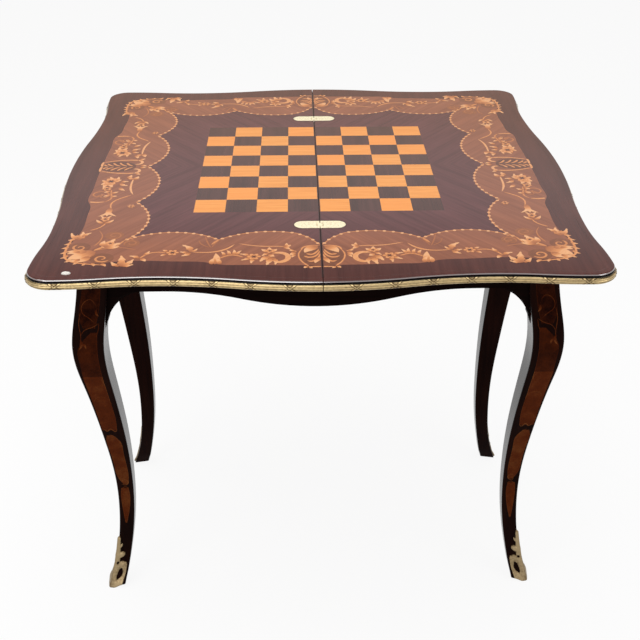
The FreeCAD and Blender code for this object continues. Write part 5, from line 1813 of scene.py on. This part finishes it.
@dataclass
class Studio:
    """Pale floor, soft light and the camera."""

    floor_reach: float = 14.0
    floor_level: float = -0.0005
    floor_points: int = 9
    floor_colour: Colour = (0.92, 0.92, 0.92)
    floor_roughness: float = 0.9
    floor_specular: float = 0.1
    floor_glow: float = 0.9
    ambient: float = 0.45
    ceiling: float = 0.22
    wall: tuple[float, float] = (0.425, 0.458)
    panelling: Colour = (0.80, 0.55, 0.40)
    panel_rises: tuple[float, float, float, float] = (0.22, 0.285, 0.31, 0.37)
    lens: float = 58.238
    sensor: float = 36.0
    far: float = 50.0
    camera_place: tuple[float, float, float] = (-0.034442, -1.647673, 1.403318)
    yaw: float = 1.409
    pitch: float = 29.827
    roll: float = -0.060

    def floor(self) -> None:
        """Pale floor, nearly white to the camera, that keeps the table's shadow."""
        count = self.floor_points
        share = np.linspace(-1.0, 1.0, count) * self.floor_reach / 2
        across, along = np.meshgrid(share, share)
        points = np.stack([across, along, np.full_like(across, self.floor_level)], -1).reshape(-1, 3)
        index = np.arange(len(points)).reshape(count, count)
        corners = (index[:-1, :-1], index[:-1, 1:], index[1:, 1:], index[1:, :-1])
        mesh = bpy.data.meshes.new("floor")
        mesh.from_pydata(points.tolist(), [], np.stack(corners, -1).reshape(-1, 4).tolist())
        graph = Graph("floor_paper")
        paper = graph.surface(Base_Color=self.floor_colour, Roughness=self.floor_roughness,
                              Specular_IOR_Level=self.floor_specular)
        glow = graph.node("ShaderNodeEmission", {}, {"Color": WHITE, "Strength": 1.0})
        shader = Shade(graph, graph.shader.outputs[0])
        share = graph.background_rays() * self.floor_glow
        mixed = graph.node("ShaderNodeMixShader", {}, {"Fac": share, 1: shader, 2: glow})
        graph.feed(graph.tree.nodes["Material Output"].inputs["Surface"], mixed)
        mesh.materials.append(paper)
        ground = bpy.data.objects.new("floor", mesh)
        bpy.context.scene.collection.objects.link(ground)

    def world(self) -> None:
        """Even light all round, white to the camera; reflections see a wall with warm panelling low on it."""
        world = bpy.data.worlds.new("studio")
        world.use_nodes = True
        bpy.context.scene.world = world
        graph = Graph("studio", world.node_tree)
        backdrop = world.node_tree.nodes["Background"]
        sight = graph.node("ShaderNodeTexCoord", {}, {}, "Generated")
        rise = graph.node("ShaderNodeSeparateXYZ", {}, {0: sight}, "Z")
        seen = graph.node("ShaderNodeLightPath", {}, {}, "Is Camera Ray")
        shown = seen + (1.0 - seen) * graph.change(rise, self.wall, (1.0, self.ceiling))
        light = graph.background_rays()
        graph.feed(backdrop.inputs["Strength"], light * shown + (1.0 - light) * self.ambient)
        colours = (WHITE, self.panelling, self.panelling, WHITE)
        panel = graph.ramp(rise, tuple(zip(self.panel_rises, colours)))
        graph.feed(backdrop.inputs["Color"], graph.mix(seen, panel, WHITE))

    @staticmethod
    def lamp(name: str, place: Sequence[float], aim: Sequence[float], size: tuple[float, float], power: float,
             only_gloss: bool) -> None:
        """Soft rectangular lamp.

        Args:
            name: Name of the lamp.
            place: Where it stands.
            aim: Point at which it is aimed.
            size: Width and height.
            power: Power in watts.
            only_gloss: True for a lamp that only polish reflects.
        """
        light = bpy.data.lights.new(name, "AREA")
        light.shape = "RECTANGLE"
        light.size, light.size_y = size
        light.energy = power
        lamp = bpy.data.objects.new(name, light)
        lamp.location = place
        lamp.visible_diffuse = not only_gloss
        heading = Vector(aim) - Vector(place)
        lamp.rotation_euler = heading.to_track_quat("-Z", "Y").to_euler()
        bpy.context.scene.collection.objects.link(lamp)

    def camera(self) -> None:
        """Camera at the photograph's viewing angle, from its yaw, pitch and roll in degrees."""
        yaw, pitch, roll = (math.radians(angle) for angle in (self.yaw, self.pitch, self.roll))
        ahead = np.array([math.sin(yaw) * math.cos(pitch), math.cos(yaw) * math.cos(pitch), -math.sin(pitch)])
        level = np.array([math.cos(yaw), -math.sin(yaw), 0.0])
        down = np.cross(ahead, level)
        right = math.cos(roll) * level + math.sin(roll) * down
        under = math.cos(roll) * down - math.sin(roll) * level
        data = bpy.data.cameras.new("camera")
        data.lens = self.lens
        data.sensor_width = self.sensor
        data.clip_end = self.far
        camera = bpy.data.objects.new("camera", data)
        turn = Matrix(np.stack([right, -under, -ahead], -1).tolist())
        camera.matrix_world = Matrix.Translation(self.camera_place) @ turn.to_4x4()
        bpy.context.scene.collection.objects.link(camera)
        bpy.context.scene.camera = camera

    def build(self) -> None:
        """Set the whole studio."""
        self.floor()
        self.world()
        for lamp in LAMPS:
            self.lamp(*lamp)
        self.camera()


# Lamps: name, place, aim, size, power, and whether only polish reflects it.
LAMPS = (
    ("overhead", (-0.3, -0.2, 2.9), (0.0, 0.0, 0.7), (2.4, 2.4), 52.0, False),
    ("front_left", (-2.4, -2.6, 1.9), (0.0, 0.0, 0.5), (1.8, 1.8), 30.0, False),
    ("front_right", (2.6, -2.2, 1.6), (0.0, 0.0, 0.4), (1.8, 1.8), 20.0, False),
    ("front_strip", (-0.95, -3.0, 0.85), (-0.2, 0.0, 0.75), (2.0, 0.7), 14.0, True),
)


def finishes() -> dict[str, bpy.types.Material]:
    """Finish of every slot of the record, and of the inlays.

    Returns:
        Materials by slot or inlay name.
    """
    dark_edge, light_edge = (0.050, 0.012, 0.009), (0.086, 0.023, 0.017)
    choices = {
        "core_wood": Plain("oak_core", (0.30, 0.17, 0.09), 0.6),
        "backing_veneer": PolishedWood("backing", (0.05, 0.02, 0.012), (0.10, 0.045, 0.028), Grain.ALONG,
                                       roughness=0.5),
        "lipping_wood": PolishedWood("lipping", dark_edge, light_edge, Grain.ALONG, True, glint=0.85),
        "margin_veneer": PolishedWood("margin", dark_edge, light_edge, Grain.ALONG, True),
        "border_veneer": PolishedWood("border", (0.19, 0.062, 0.032), (0.29, 0.100, 0.050), Grain.DIAGONAL, True),
        "field_veneer": PolishedWood("field", (0.074, 0.026, 0.026), (0.128, 0.046, 0.046), Grain.DIAGONAL, True,
                                     specular=0.17),
        "dark_veneer": PolishedWood("dark_squares", (0.046, 0.0175, 0.013), (0.084, 0.032, 0.026), Grain.ALONG),
        "light_veneer": BoardSquares("light_squares", 0.048, (0.62, 0.22, 0.038), (0.80, 0.35, 0.085),
                                     (0.78, 0.26, 0.045), 0.7),
        "leg_wood": PolishedWood("legs", (0.0040, 0.0010, 0.0007), (0.011, 0.0026, 0.0014), Grain.UPRIGHT,
                                 roughness=0.25, specular=0.02, sheen=0.6),
        # Aprons and ears: dark wood, its colour darkened further as painted shade for their place under the top.
        "apron_wood": PolishedWood("aprons", (0.002, 0.0008, 0.0007), (0.006, 0.0020, 0.0016), Grain.ACROSS,
                                   roughness=0.3, specular=0.01),
        "well_wood": Plain("well_oak", (0.16, 0.08, 0.04), 0.6),
        "band_brass": Brass("band", (0.57, 0.43, 0.22), (0.05, 0.028, 0.012), 0.22, mottle=0.8),
        "gilt_brass": Brass("shoes", (0.32, 0.24, 0.135), (0.060, 0.032, 0.012), 0.32, mottle=1.2),
        "plate_brass": Brass("plates", (0.93, 0.84, 0.58), (0.42, 0.31, 0.15), 0.34, metallic=0.25, engraved=0.45),
        "steel": Plain("steel", (0.45, 0.45, 0.46), 0.35, 1.0),
        "baize": Plain("baize", (0.02, 0.09, 0.04), 0.95),
        "bumper_leather": Plain("button", (0.75, 0.72, 0.66), 0.4),
        "border_inlay": TonedInlay("scrolls", (0.060, 0.021, 0.018), (0.36, 0.12, 0.042), (0.60, 0.235, 0.080),
                                   (0.70, 0.36, 0.17)),
        "leg_inlay": TonedInlay("leg_panels", (0.007, 0.0008, 0.0003), (0.072, 0.013, 0.0022), (0.17, 0.06, 0.016),
                                (0.24, 0.11, 0.035), specular=0.02, mottle=0.45),
    }
    return {name: choice.material() for name, choice in choices.items()}


def main() -> None:
    """Build the table's pieces in order, dress the rest and set the studio."""
    logging.basicConfig(level=logging.INFO, format="%(message)s")
    bpy.context.scene.view_settings.view_transform = "Standard"
    materials = finishes()
    moulding = EdgeMoulding(TopOutline())
    inlay = BorderInlay()
    for side in Side:
        moulding.lipping(side, materials["lipping_wood"])
        moulding.band(side, materials["band_brass"])
        inlay.edging(side, materials["border_veneer"], materials["margin_veneer"])
        inlay.dips(side, materials["field_veneer"])
        inlay.build(side, materials["border_inlay"])
        for end in End:
            leg = CabrioleLeg(LegShape(), side, end)
            leg.wood(materials["leg_wood"])
            leg.inlay(materials["leg_inlay"])
            leg.shoe(ShoeRelief(), materials["gilt_brass"])
            ApronEar(LegShape()).build(side, end, materials["apron_wood"])
    moulding.seam_strip(materials["lipping_wood"])
    Dressing(materials).dress()
    Studio().build()


if __name__ == "__main__":
    main()
